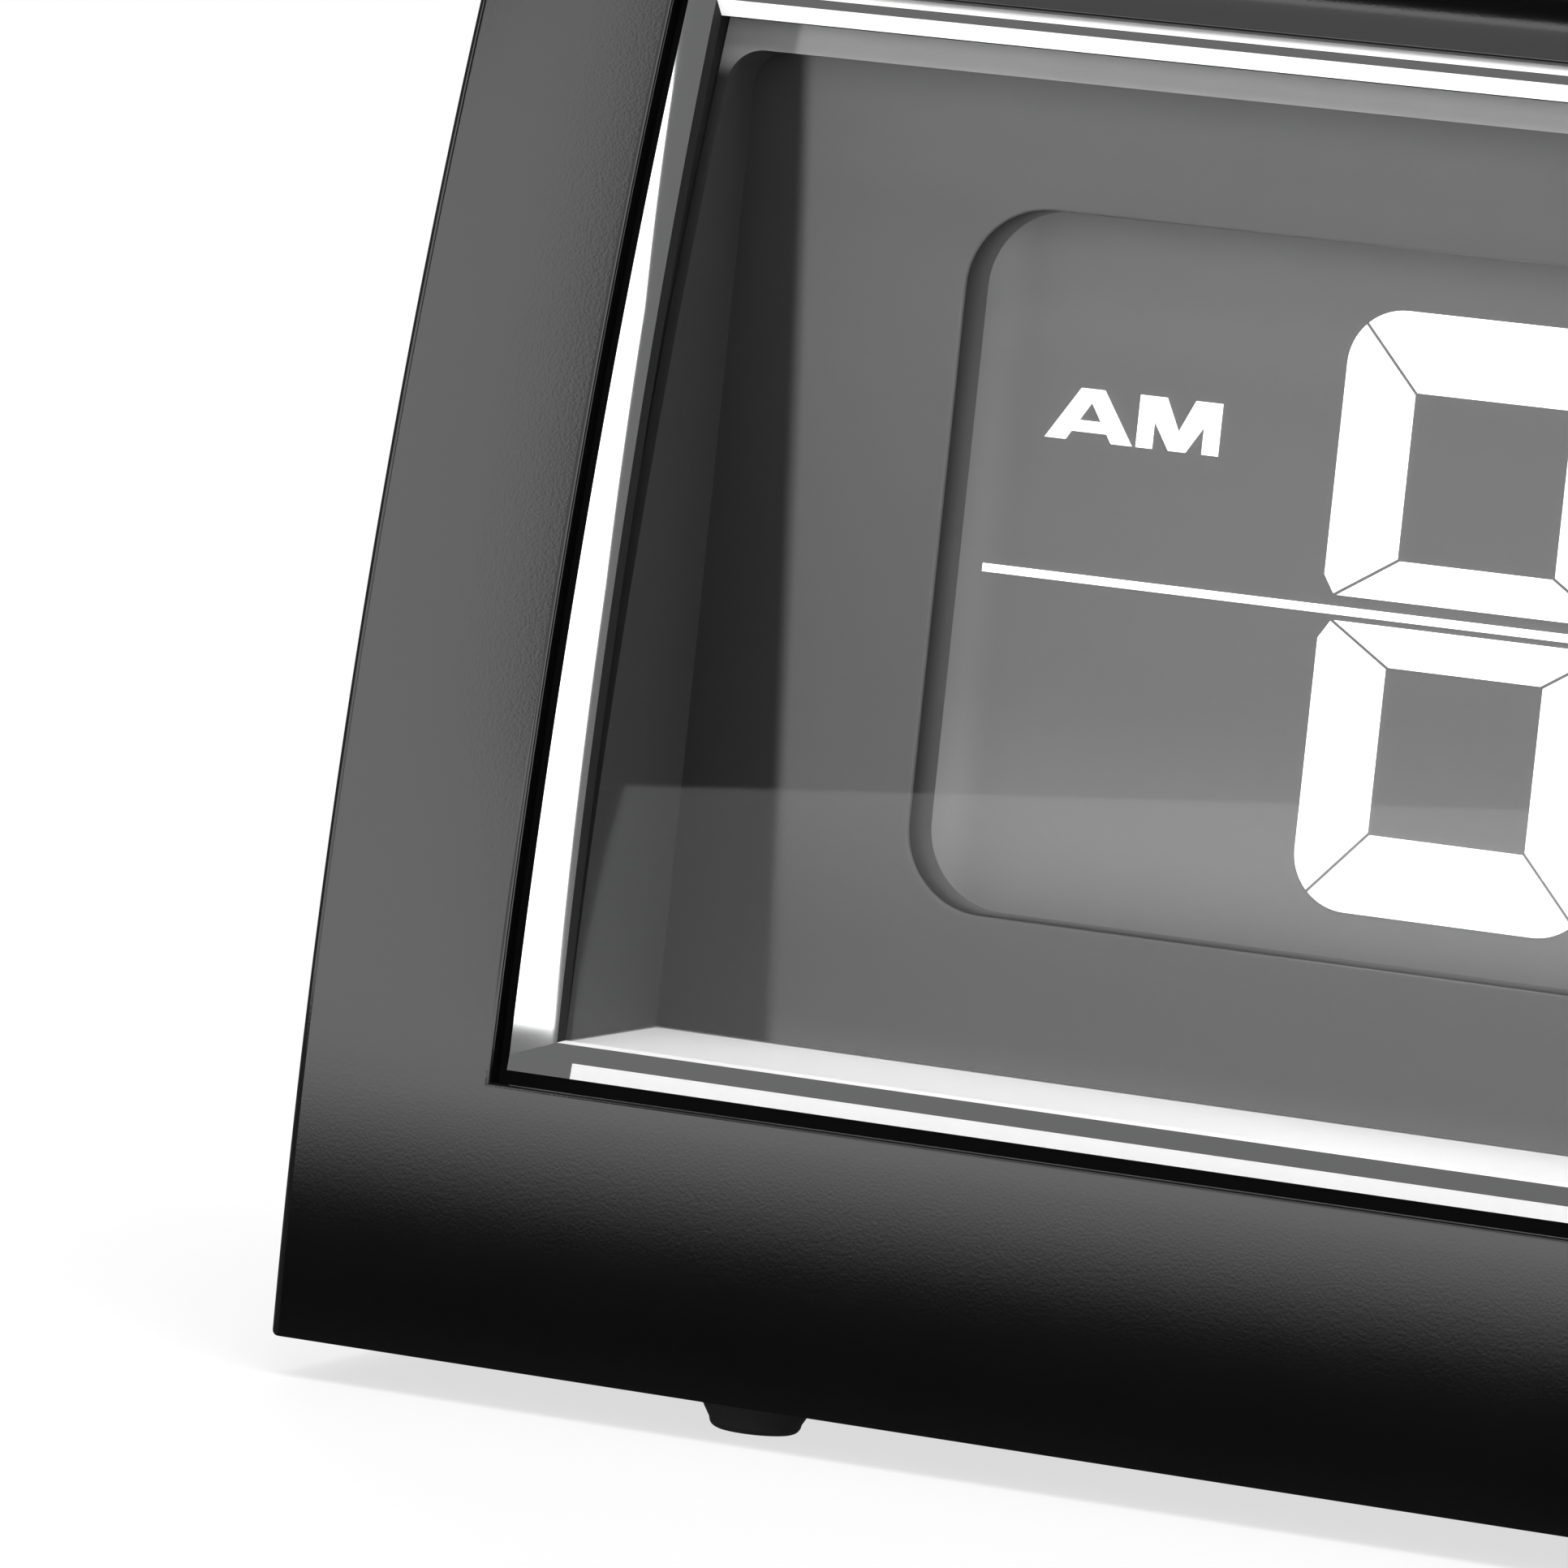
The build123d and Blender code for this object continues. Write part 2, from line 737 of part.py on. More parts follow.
def make_rear_cover():
    """Moulded cover: back plate, lipped skirt, battery bay, screw towers, posts and buzzer ring."""
    half = case_width / 2
    cover = span_box((-half, half), (parting, back_face), (case_bottom, case_top))
    cover = fillet(cover.edges().filter_by(Axis.Y), end_edge_radius)
    cover = fillet(cover.faces().sort_by(Axis.Y)[-1].edges(), cover_edge_radius)
    lip_x = inner_half - lip_fit
    lip_low = case_bottom + case_wall + lip_fit
    lip_high = inner_top - lip_fit
    cover += span_box((-lip_x, lip_x), (parting - lip_length, parting), (lip_low, lip_high))
    depth = (parting - lip_length - overrun, plate_inside)
    cover -= span_box((-hollow_half, hollow_half), depth, (lip_low + lip_wall, lip_high - lip_wall))
    for x in (-post_x, post_x):
        for z in post_heights:
            cover += rod_y(post_radius, (parting, back_face - cover_wall / 2), x, z)
    for x in (key_mid_x - key_post_x, key_mid_x + key_post_x):
        cover += rod_y(key_post_radius, (key_board_back, back_face - cover_wall / 2), x, key_post_z)
        pilot = small_screw_radius + screw_fit
        cover -= rod_y(pilot, (key_board_back - overrun, key_board_back + small_screw_bite), x, key_post_z)
    ring = buzzer_radius + buzzer_fit
    ring_end = plate_inside - buzzer_ring_height
    rooted = back_face - cover_wall / 2
    cover += rod_y(ring + buzzer_ring_wall, (ring_end, rooted), key_mid_x, buzzer_z)
    cover -= rod_y(ring, (ring_end - overrun, plate_inside), key_mid_x, buzzer_z)
    cover += bay_box(bay_wall, (bay_floor - bay_wall, back_face - cover_wall / 2))
    cover -= bay_box(0, (bay_floor, back_face + overrun))
    cover -= rear_plate_cuts()
    cover -= cover_screw_holes()
    return cover - door_opening()


def cover_screw_holes():
    holes = []
    for x in (-post_x, post_x):
        for z in post_heights:
            seat = parting + screw_seat
            well = rod_y(screw_head_radius + head_fit, (seat, back_face + overrun), x, z)
            holes.append(well + rod_y(screw_radius + screw_fit, (parting - overrun, seat), x, z))
    return holes


def door_opening():
    """Stepped opening for the battery door, its pin sockets and the finger notch above it."""
    half = door_half + door_fit
    depth = (back_face - door_thickness - door_seat, back_face + overrun)
    sides = (bay_mid_x - half, bay_mid_x + half)
    opening = span_box(sides, depth, (door_low - door_fit, door_high + door_fit))
    pin_half = door_half + door_pin_length + door_fit
    pin_ends = (bay_mid_x - pin_half, bay_mid_x + pin_half)
    opening += rod_x(door_pin_radius + door_pin_fit, pin_ends, door_axis_y, door_axis_z)
    notch = RectangleRounded(notch_length, 2 * notch_height, recess_corner)
    notch = Pos(bay_mid_x, door_high + door_fit) * notch
    return opening + prism_y(notch, (back_face - notch_depth, back_face + overrun))


def make_battery_door():
    """Door with a round lower edge that turns on two pins, and grip ribs below the finger notch."""
    sides = (bay_mid_x - door_half, bay_mid_x + door_half)
    door = span_box(sides, (back_face - door_thickness, back_face), (door_axis_z, door_high))
    door += rod_x(door_thickness / 2, sides, door_axis_y, door_axis_z)
    for i in range(door_rib_count):
        z = door_high - (i + 1) * door_rib_pitch
        groove = Pos(bay_mid_x, z) * Rectangle(door_rib_length, door_rib_width)
        door -= prism_y(groove, (back_face - door_rib_depth, back_face + overrun))
    pin_half = door_half + door_pin_length
    pins = (bay_mid_x - pin_half, bay_mid_x + pin_half)
    return door + rod_x(door_pin_radius, pins, door_axis_y, door_axis_z)


def make_cover_screws():
    screws = []
    for x in (-post_x, post_x):
        for z in post_heights:
            seat = parting + screw_seat
            head = rod_y(screw_head_radius, (seat, seat + screw_head_height), x, z)
            screws.append(head + rod_y(screw_radius, (parting - screw_bite, seat), x, z))
    return screws


def make_key(x):
    """Round key: cap in its hole, flange behind the plate, stem towards its switch."""
    cap = rod_y(key_radius, (key_flange_front, key_tip), x, key_row)
    cap = fillet(cap.edges().sort_by(Axis.Y)[-1], key_edge_radius)
    cap += rod_y(key_radius + key_flange, (key_flange_front, key_flange_back), x, key_row)
    return cap + rod_y(key_stem_radius, (key_stem_end, key_flange_front), x, key_row)


def make_key_board():
    half = key_board_width / 2
    depth = (key_board_front, key_board_back)
    board = span_box((key_mid_x - half, key_mid_x + half), depth, (key_board_low, key_board_high))
    for x in (key_mid_x - key_post_x, key_mid_x + key_post_x):
        hole = small_screw_radius + screw_fit
        board -= rod_y(hole, (key_board_front - overrun, key_board_back + overrun), x, key_post_z)
    return board


def make_key_board_screws():
    screws = []
    for x in (key_mid_x - key_post_x, key_mid_x + key_post_x):
        under_head = key_board_front - small_head_height
        head = rod_y(small_head_radius, (under_head, key_board_front), x, key_post_z)
        shank = (key_board_front, key_board_back + small_screw_bite)
        screws.append(head + rod_y(small_screw_radius, shank, x, key_post_z))
    return screws


def make_tact_switches():
    """One push switch behind each key."""
    half = tact_size / 2
    switches = []
    for x in key_places:
        body = span_box((x - half, x + half), (key_board_back, tact_back), (key_row - half, key_row + half))
        switches.append(body + rod_y(tact_button_radius, (tact_back, tact_top), x, key_row))
    return switches


def make_slide_switch():
    """Body of the alarm switch, with the slot that its lever runs in."""
    half_x = slide_switch_length / 2
    half_z = slide_switch_height / 2
    top = key_board_back + slide_switch_depth
    body_x = (slider_x - half_x, slider_x + half_x)
    body = span_box(body_x, (key_board_back, top), (slider_row - half_z, slider_row + half_z))
    depth = (top - slide_slot_depth, top + overrun)
    return body - slider_slot(slider_stem_length, slider_stem_height, depth)


def slider_block(length, height, y_range):
    """Part of the slider, centred where it stands with the alarm off."""
    outline = Pos(slider_x - slider_travel / 2, slider_row) * Rectangle(length, height)
    return prism_y(outline, y_range)


def make_alarm_slider():
    """Knob in its recess, neck through the slot, flange behind the plate, lever into the switch."""
    cap = slider_block(slider_cap_length, slider_cap_height, (recess_floor + key_gap, key_tip))
    flange = (key_flange_back - slider_flange_depth, key_flange_back)
    cap += slider_block(slider_neck_length, slider_neck_height, (flange[0], key_tip))
    cap += slider_block(slider_flange_length, slider_flange_height, flange)
    lever_end = key_board_back + slide_switch_depth - slide_slot_depth + key_gap
    return cap + slider_block(slider_stem_length, slider_stem_height, (lever_end, flange[0]))


def make_power_inlet():
    """Low-voltage socket: block on the key board, round nose in the cover, bore for a plug."""
    half = inlet_block / 2
    ends_x = (inlet_x - half, inlet_x + half)
    ends_z = (slider_row - half, slider_row + half)
    inlet = span_box(ends_x, (key_board_back, plate_inside), ends_z)
    nose = back_face - inlet_sunk
    inlet += rod_y(inlet_nose_radius, (plate_inside, nose), inlet_x, slider_row)
    return inlet - rod_y(inlet_bore_radius, (nose - inlet_bore_depth, nose + overrun), inlet_x, slider_row)


def make_inlet_pin():
    nose = back_face - inlet_sunk
    return rod_y(inlet_pin_radius, (nose - inlet_bore_depth, nose - inlet_pin_sunk), inlet_x, slider_row)


def make_buzzer():
    return rod_y(buzzer_radius, (plate_inside - buzzer_height, plate_inside), key_mid_x, buzzer_z)


def cell_ends(direction):
    """Nub end and flat end of a cell that points along +X or -X."""
    wall = bay_right if direction > 0 else bay_left
    nub = wall - direction * contact_thickness
    return nub, nub - direction * (cell_length + cell_nub_length)


def make_cells():
    """Two round cells, side by side and head to tail."""
    cells = []
    for z, direction in zip(cell_heights, cell_directions):
        nub, flat = cell_ends(direction)
        shoulder = nub - direction * cell_nub_length
        body = rod_x(cell_radius, sorted((flat, shoulder)), cell_y, z)
        cells.append(body + rod_x(cell_nub_radius, sorted((shoulder, nub)), cell_y, z))
    return cells


def make_contact_plates():
    half = contact_size / 2
    plates = []
    for z, direction in zip(cell_heights, cell_directions):
        nub = cell_ends(direction)[0]
        ends = sorted((nub, nub + direction * contact_thickness))
        plates.append(span_box(ends, (cell_y - half, cell_y + half), (z - half, z + half)))
    return plates


def make_contact_springs():
    """Bowed leaf at the flat end of each cell, with its foot on the wall of the bay."""
    half = contact_size / 2
    thin = contact_thickness / 2
    springs = []
    for z, direction in zip(cell_heights, cell_directions):
        flat = cell_ends(direction)[1] - direction * thin
        wall = (bay_left if direction > 0 else bay_right) + direction * thin
        bow = ThreePointArc((wall, cell_y - half), (flat, cell_y), (wall, cell_y + half))
        foot = Line((wall, cell_y - half), (wall, cell_y + half))
        strip = trace(bow, contact_thickness) + trace(foot, contact_thickness)
        springs.append(prism_z(strip, (z - half, z + half)) & bay_box(0, (bay_floor, back_face)))
    return springs


def tube(points, bend, radius):
    path = FilletPolyline(*points, radius=bend)
    return sweep(Plane(origin=path @ 0, z_dir=path % 0) * Circle(radius), path=path)


def make_battery_lead(z):
    """Wire from the floor of the battery bay to the main board."""
    out = [(lead_wall_x, lead_start, z), (lead_wall_x, lead_turn, z)]
    home = [(lead_board_x, lead_turn, z), (lead_board_x, board_back, z)]
    return tube(out + home, lead_bend, lead_radius)


def make_buzzer_leads():
    """Two wires from the buzzer up to the key board."""
    start = plate_inside - buzzer_height
    back = key_board_front - buzzer_lead_run
    top = key_board_low + buzzer_lead_bend + lead_radius
    leads = []
    for x in (key_mid_x - buzzer_radius / 2, key_mid_x + buzzer_radius / 2):
        points = [(x, start, buzzer_z), (x, back, buzzer_z), (x, back, top), (x, key_board_front, top)]
        leads.append(tube(points, buzzer_lead_bend, lead_radius))
    return leads


def ribbon_ends():
    """Heights of the ribbon at the main board and at the key board."""
    return sill + ribbon_board_rise, key_post_z


def make_ribbon_sockets():
    half = socket_width / 2
    main_z, key_z = ribbon_ends()
    tall = socket_height / 2
    ends = (key_mid_x - half, key_mid_x + half)
    first = span_box(ends, (board_back, ribbon_start), (main_z - tall, main_z + tall))
    return [first, span_box(ends, (ribbon_end, key_board_front), (key_z - tall, key_z + tall))]


def make_ribbon_cable():
    """Flat ribbon between the two boards, bent twice."""
    main_z, key_z = ribbon_ends()
    middle = (ribbon_start + ribbon_end) / 2
    corners = [(ribbon_start, main_z), (middle, main_z), (middle, key_z), (ribbon_end, key_z)]
    route = FilletPolyline(*corners, radius=ribbon_bend)
    ends = (key_mid_x - ribbon_width / 2, key_mid_x + ribbon_width / 2)
    return prism_x(trace(route, ribbon_thickness), ends)


def make_feet():
    """Four tapered rubber pads under the corners."""
    feet = []
    for x in (-foot_x, foot_x):
        for y in (front_face + foot_front_setback, back_face - foot_rear_setback):
            base = Pos(x, y, 0) * Circle(foot_base_radius)
            pad = loft([base, Pos(x, y, foot_height) * Circle(foot_top_radius)])
            feet.append(fillet(pad.edges().sort_by(Axis.Z)[0], foot_edge_radius))
    return feet


def write(name, shape):
    """One file for each piece, or for each group of like pieces."""
    solids = ShapeList()
    for item in shape if isinstance(shape, list) else [shape]:
        solids += item.solids()
    piece = solids[0] if len(solids) == 1 else Compound(children=list(solids))
    piece.label = name
    export_step(piece, os.path.join("parts", name + ".step"))


os.makedirs("parts", exist_ok=True)
write("front_case", make_front_case())
write("chrome_bezel", make_bezel())
write("display_lens", make_lens())
write("mask_tray", make_mask_tray())
write("lcd_front_glass", lcd_plate((lcd_front, lcd_middle), lcd_low))
write("lcd_rear_glass", lcd_plate((lcd_middle, lcd_back), lcd_low + lcd_ledge))
write("light_guide", make_light_guide())
write("reflector_sheet", make_reflector())
write("backlight_led_bars", make_led_bars())
write("lcd_contact_strip", make_zebra_strip())
write("lcd_holder", make_lcd_holder())
write("main_board", make_main_board())
write("main_board_screws", make_board_screws())
write("clock_chip", make_chip_blob())
write("quartz_crystal", make_crystal_can())
write("capacitors", make_capacitors())
write("snooze_switch", make_snooze_switch())
write("snooze_bar", make_snooze_bar())
write("snooze_bracket", make_snooze_bracket())
write("snooze_bracket_screws", make_bracket_screws())
write("snooze_springs", make_snooze_springs())
write("rear_cover", make_rear_cover())
write("rear_cover_screws", make_cover_screws())
write("battery_door", make_battery_door())
write("battery_cells", make_cells())
write("battery_contact_plates", make_contact_plates())
write("battery_contact_springs", make_contact_springs())
for key_name, key_x in zip(("time_key", "alarm_key", "hour_key", "minute_key"), reversed(key_places)):
    write(key_name, make_key(key_x))
write("key_board", make_key_board())
write("key_board_screws", make_key_board_screws())
write("key_switches", make_tact_switches())
write("alarm_slider", make_alarm_slider())
write("alarm_slide_switch", make_slide_switch())
write("power_inlet", make_power_inlet())
write("power_inlet_pin", make_inlet_pin())
write("buzzer", make_buzzer())
write("buzzer_leads", make_buzzer_leads())
write("battery_lead_red", make_battery_lead(cell_heights[0]))
write("battery_lead_black", make_battery_lead(cell_heights[1]))
write("ribbon_sockets", make_ribbon_sockets())
write("ribbon_cable", make_ribbon_cable())
write("rubber_feet", make_feet())
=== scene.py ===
from math import asin, atan2, cos, pi, radians, sin, sqrt, tan
import bmesh
import bpy
from mathutils import Matrix, Vector


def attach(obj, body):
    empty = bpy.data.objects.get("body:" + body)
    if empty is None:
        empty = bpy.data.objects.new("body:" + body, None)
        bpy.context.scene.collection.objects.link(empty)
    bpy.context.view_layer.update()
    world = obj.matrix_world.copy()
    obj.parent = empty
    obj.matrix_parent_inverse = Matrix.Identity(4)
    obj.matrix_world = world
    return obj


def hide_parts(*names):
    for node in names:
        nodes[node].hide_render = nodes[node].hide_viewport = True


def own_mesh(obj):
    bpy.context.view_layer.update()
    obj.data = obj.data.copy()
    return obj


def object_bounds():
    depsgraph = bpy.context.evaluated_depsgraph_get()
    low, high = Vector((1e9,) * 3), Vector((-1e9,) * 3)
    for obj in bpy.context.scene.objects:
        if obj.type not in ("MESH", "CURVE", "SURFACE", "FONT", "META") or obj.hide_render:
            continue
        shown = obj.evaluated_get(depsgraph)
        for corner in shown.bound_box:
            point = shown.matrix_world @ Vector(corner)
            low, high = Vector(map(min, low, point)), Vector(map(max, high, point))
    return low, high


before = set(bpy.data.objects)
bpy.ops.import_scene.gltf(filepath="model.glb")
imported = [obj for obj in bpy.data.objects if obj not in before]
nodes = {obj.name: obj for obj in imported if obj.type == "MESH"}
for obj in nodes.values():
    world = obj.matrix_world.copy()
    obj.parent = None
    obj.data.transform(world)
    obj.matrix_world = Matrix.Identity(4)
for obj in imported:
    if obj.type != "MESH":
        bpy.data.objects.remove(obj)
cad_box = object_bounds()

# Front case: one moulded sleeve of black plastic with a satin gloss. Its front is an arc that leans
# back and rolls over a crown into the flat top. The window and the snooze slot have softened edges.
FRONT_R, AXIS_Y, AXIS_Z = 250.0, 217.0, 9.75
CASE_HALF, CASE_LOW, CASE_TOP, PARTING, WALL = 83.0, 2.5, 98.0, 21.0, 2.4
CROWN_R, END_R = 10.0, 0.6
OPEN_HALF, OPEN_LOW, OPEN_HIGH, OPEN_R = 70.05, 20.2, 89.34, 0.35
SLOT_HALF, SLOT_NEAR, SLOT_FAR, SLOT_R = 42.35, -4.35, 11.35, 0.3
FLOOR_NEAR, FRONT_STEPS, CROWN_STEPS, RIM_STEPS = -15.0, (10, 64, 2), 14, 5


def front_y(z, inset=0.0):
    """Place of the leaning front at a height, or of a sheet that lies an inset behind it."""
    return AXIS_Y - sqrt((FRONT_R - inset) ** 2 - (z - AXIS_Z) ** 2)


def new_object(name, data):
    ob = bpy.data.objects.new(name, data)
    bpy.context.scene.collection.objects.link(ob)
    return ob


def piece(name, verts, faces, materials, body="case", bands=None, angle=28, slot=None, replaced=()):
    """Closed mesh from places in millimetres, shaded smooth up to an angle, riding on a body."""
    mesh = bpy.data.meshes.new(name)
    mesh.from_pydata([(x / 1000, y / 1000, z / 1000) for x, y, z in verts], [], faces)
    for m in materials:
        mesh.materials.append(m)
    if bands:
        for polygon, band in zip(mesh.polygons, bands):
            polygon.material_index = band
    bm = bmesh.new()
    bm.from_mesh(mesh)
    bmesh.ops.remove_doubles(bm, verts=bm.verts, dist=2e-7)
    bmesh.ops.dissolve_degenerate(bm, edges=bm.edges, dist=1e-7)
    bmesh.ops.recalc_face_normals(bm, faces=bm.faces)
    bm.to_mesh(mesh)
    bm.free()
    mesh.shade_smooth()
    mesh.set_sharp_from_angle(angle=radians(angle))
    ob = new_object(name, mesh)
    weigh = ob.modifiers.new("even_normals", "WEIGHTED_NORMAL")
    weigh.keep_sharp = True
    flat = bpy.data.meshes.new_from_object(ob.evaluated_get(bpy.context.evaluated_depsgraph_get()))
    ob.modifiers.remove(weigh)
    ob.data = flat
    flat.name = name
    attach(ob, body)
    if replaced:
        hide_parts(*replaced)
    return ob


def surface(name, base, rough, metallic=0.0, grain=900.0, spread=0.06, bump=0.0, bump_scale=2500.0,
            ior=1.5, glow=0.0):
    """Opaque finish: a fine noise varies its colour and roughness, and a grain can lift the surface."""
    m = bpy.data.materials.new(name)
    m.use_nodes = True
    tree = m.node_tree
    shader = tree.nodes["Principled BSDF"]
    where = tree.nodes.new("ShaderNodeTexCoord")
    noise = tree.nodes.new("ShaderNodeTexNoise")
    noise.inputs["Scale"].default_value = grain
    noise.inputs["Detail"].default_value = 3.0
    tree.links.new(where.outputs["Object"], noise.inputs["Vector"])
    tint = tree.nodes.new("ShaderNodeMapRange")
    tint.inputs["To Min"].default_value = 1.0 - spread
    tint.inputs["To Max"].default_value = 1.0 + spread
    tree.links.new(noise.outputs["Fac"], tint.inputs["Value"])
    colour = tree.nodes.new("ShaderNodeVectorMath")
    colour.operation = "SCALE"
    colour.inputs[0].default_value = base
    tree.links.new(tint.outputs["Result"], colour.inputs["Scale"])
    tree.links.new(colour.outputs["Vector"], shader.inputs["Base Color"])
    polish = tree.nodes.new("ShaderNodeMapRange")
    polish.inputs["To Min"].default_value = rough * (1.0 - spread)
    polish.inputs["To Max"].default_value = rough * (1.0 + spread)
    tree.links.new(noise.outputs["Fac"], polish.inputs["Value"])
    tree.links.new(polish.outputs["Result"], shader.inputs["Roughness"])
    shader.inputs["Metallic"].default_value = metallic
    shader.inputs["IOR"].default_value = ior
    if glow:
        tree.links.new(colour.outputs["Vector"], shader.inputs["Emission Color"])
        shader.inputs["Emission Strength"].default_value = glow
    if bump:
        fine = tree.nodes.new("ShaderNodeTexNoise")
        fine.inputs["Scale"].default_value = bump_scale
        fine.inputs["Detail"].default_value = 2.0
        tree.links.new(where.outputs["Object"], fine.inputs["Vector"])
        lift = tree.nodes.new("ShaderNodeBump")
        lift.inputs["Strength"].default_value = bump
        lift.inputs["Distance"].default_value = 0.0001
        tree.links.new(fine.outputs["Fac"], lift.inputs["Height"])
        tree.links.new(lift.outputs["Normal"], shader.inputs["Normal"])
    return m


def case_rows():
    """Side view of the case as angles on the front arc and the crown, with the flats before and after."""
    reach = FRONT_R - CROWN_R
    crown_z = CASE_TOP - CROWN_R
    crown_y = AXIS_Y - sqrt(reach ** 2 - (crown_z - AXIS_Z) ** 2)
    turn = asin((crown_z - AXIS_Z) / reach)
    start = asin((CASE_LOW - AXIS_Z) / FRONT_R)
    marks = [asin((z - AXIS_Z) / FRONT_R) for z in (OPEN_LOW - OPEN_R, OPEN_HIGH + OPEN_R)]
    cuts = [start] + marks + [turn]
    angles = []
    for a, b, n in zip(cuts, cuts[1:], FRONT_STEPS):
        angles += [a + (b - a) * i / n for i in range(n)]
    rows = [("flat_low", PARTING), ("flat_low", FLOOR_NEAR)]
    below = len(rows) + FRONT_STEPS[0]
    rows += [("front", a) for a in angles]
    window = (below, below + FRONT_STEPS[1])
    rows += [("crown", turn + (pi / 2 - turn) * i / CROWN_STEPS) for i in range(CROWN_STEPS + 1)]
    slot = (len(rows), len(rows) + 1)
    rows += [("flat_top", y) for y in (SLOT_NEAR - SLOT_R, SLOT_FAR + SLOT_R, PARTING)]
    return rows, window, slot, (crown_y, crown_z)


def row_point(row, inset, crown):
    """Place of one row in the side view, on the skin or an inset behind it."""
    kind, value = row
    if kind == "flat_low":
        return value, CASE_LOW + inset
    if kind == "flat_top":
        return value, CASE_TOP - inset
    if kind == "crown":
        return crown[0] - (CROWN_R - inset) * cos(value), crown[1] + (CROWN_R - inset) * sin(value)
    z = max(AXIS_Z + (FRONT_R - inset) * sin(value), CASE_LOW + inset)
    return max(front_y(z, inset), cad_box[0][1] * 1000), z


def front_case_mesh():
    """Skin and lining of the sleeve, closed at the ends, at the parting edge and round both openings."""
    rows, window, slot, crown = case_rows()
    turns = [i * pi / 12 for i in range(7)]
    ends = [(CASE_HALF - END_R + END_R * sin(t), END_R * (1 - cos(t))) for t in turns]
    marks = [SLOT_HALF + SLOT_R, OPEN_HALF + OPEN_R]
    right = [(x, 0.0) for x in marks] + ends
    columns = [(-x, i) for x, i in reversed(right)] + [(0.0, 0.0)] + right
    last = len(columns) - 1
    verts, faces = [], []

    def add(p):
        verts.append(p)
        return len(verts) - 1

    inner_half = CASE_HALF - WALL
    skin = [[add((x, *row_point(r, i, crown))) for x, i in columns] for r in rows]
    inner_x = [max(-inner_half, min(inner_half, x)) for x, i in columns]
    lining = [[add((x, *row_point(r, WALL, crown))) for x in inner_x] for r in rows]
    c_open = (columns.index((-marks[1], 0.0)), columns.index((marks[1], 0.0)))
    c_slot = (columns.index((-marks[0], 0.0)), columns.index((marks[0], 0.0)))
    holes = [(window, c_open), (slot, c_slot)]

    def open_cell(r, c):
        return any(h[0][0] <= r < h[0][1] and h[1][0] <= c < h[1][1] for h in holes)

    for r in range(len(rows) - 1):
        for c in range(last):
            if not open_cell(r, c):
                faces.append((skin[r][c], skin[r][c + 1], skin[r + 1][c + 1], skin[r + 1][c]))
                faces.append((lining[r][c], lining[r + 1][c], lining[r + 1][c + 1], lining[r][c + 1]))
    for c in (0, last):
        faces.append([skin[r][c] for r in range(len(rows))])
        faces.append([lining[r][c] for r in range(len(rows))])
        faces.append((skin[0][c], lining[0][c], lining[-1][c], skin[-1][c]))
    for c in range(last):
        for r in (0, -1):
            faces.append((skin[r][c], skin[r][c + 1], lining[r][c + 1], lining[r][c]))
    for (r0, r1), (c0, c1) in holes:
        on_top = rows[r0][0] == "flat_top"
        rim = [(r0, c) for c in range(c0, c1)] + [(r, c1) for r in range(r0, r1)]
        rim += [(r1, c) for c in range(c1, c0, -1)] + [(r, c0) for r in range(r1, r0, -1)]
        loops = [[skin[r][c] for r, c in rim]]
        for t in [pi / 2 * k / RIM_STEPS for k in range(1, RIM_STEPS + 1)]:
            loop = []
            for r, c in rim:
                x, y, z = verts[skin[r][c]]
                if on_top:
                    grow, sink = SLOT_R * (1 - sin(t)), SLOT_R * (1 - cos(t))
                    x = max(-SLOT_HALF - grow, min(SLOT_HALF + grow, x))
                    y = max(SLOT_NEAR - grow, min(SLOT_FAR + grow, y))
                    loop.append(add((x, y, CASE_TOP - sink)))
                else:
                    grow, sink = OPEN_R * (1 - sin(t)), OPEN_R * (1 - cos(t))
                    x = max(-OPEN_HALF - grow, min(OPEN_HALF + grow, x))
                    z = max(OPEN_LOW - grow, min(OPEN_HIGH + grow, z))
                    loop.append(add((x, front_y(z, sink), z)))
            loops.append(loop)
        loops.append([lining[r][c] for r, c in rim])
        for a, b in zip(loops, loops[1:]):
            for i in range(len(rim)):
                j = (i + 1) % len(rim)
                faces.append((a[i], a[j], b[j], b[i]))
    return verts, faces


case_black = surface("case_black", (0.0026, 0.0026, 0.0027), 0.1, grain=260.0, spread=0.05,
                     bump=0.02, bump_scale=5200.0, ior=1.55)
piece("front_case_shell", *front_case_mesh(), [case_black], slot="case_black", replaced=["front_case"])

# Bezel: a plated ring let into the window. Its face is rounded over and mirror bright, and its bevels,
# sill and upper lip are satin, with a painted glow that is strongest on the lip. Its walls in the shadow
# gap are dark as a painted shadow, the tunnel's upright sides are dark as painted shade, and the seat over
# the top bar has a painted glow. A flange behind the case front, out of sight, holds it in place.
RING_STEPS = 72
PANEL_Y, PANEL_BACK, SILL, PANEL_TOP = -14.3, -12.7, 23.0, 87.0
BEZEL_HALF, BEZEL_LOW, BEZEL_HIGH, BEVEL_SINK, CORNER = 69.25, 21.0, 89.3, 0.62, 4.2
FACE_HALF, FACE_LOW, FACE_HIGH, FACE_PROUD = 69.1, 22.0, 88.72, 0.2
FACE_RISE, FACE_DROP, FACE_STEPS, FACE_STEEP, FACE_SHALLOW = 1.2, 0.56, 8, 15, 5.5
LIP_HALF, LIP_LOW, LIP_HIGH, LIP_SINK, LIP_WIDE, LIP_TAPER = 68.95, 23.3, 87.15, 0.82, 3.25, 0.0195
TUNNEL_HALF, TUNNEL_HIGH, TUNNEL_SINK = 67.2, 87.9, 0.95
FLANGE_HALF, FLANGE_LOW, FLANGE_HIGH, FLANGE_FRONT, FLANGE_BACK = 72.05, 18.2, 91.2, 2.5, 4.1


def lip_width(z):
    """Width of the upright bars' faces, which narrow upwards."""
    return LIP_WIDE - LIP_TAPER * (z - SILL)


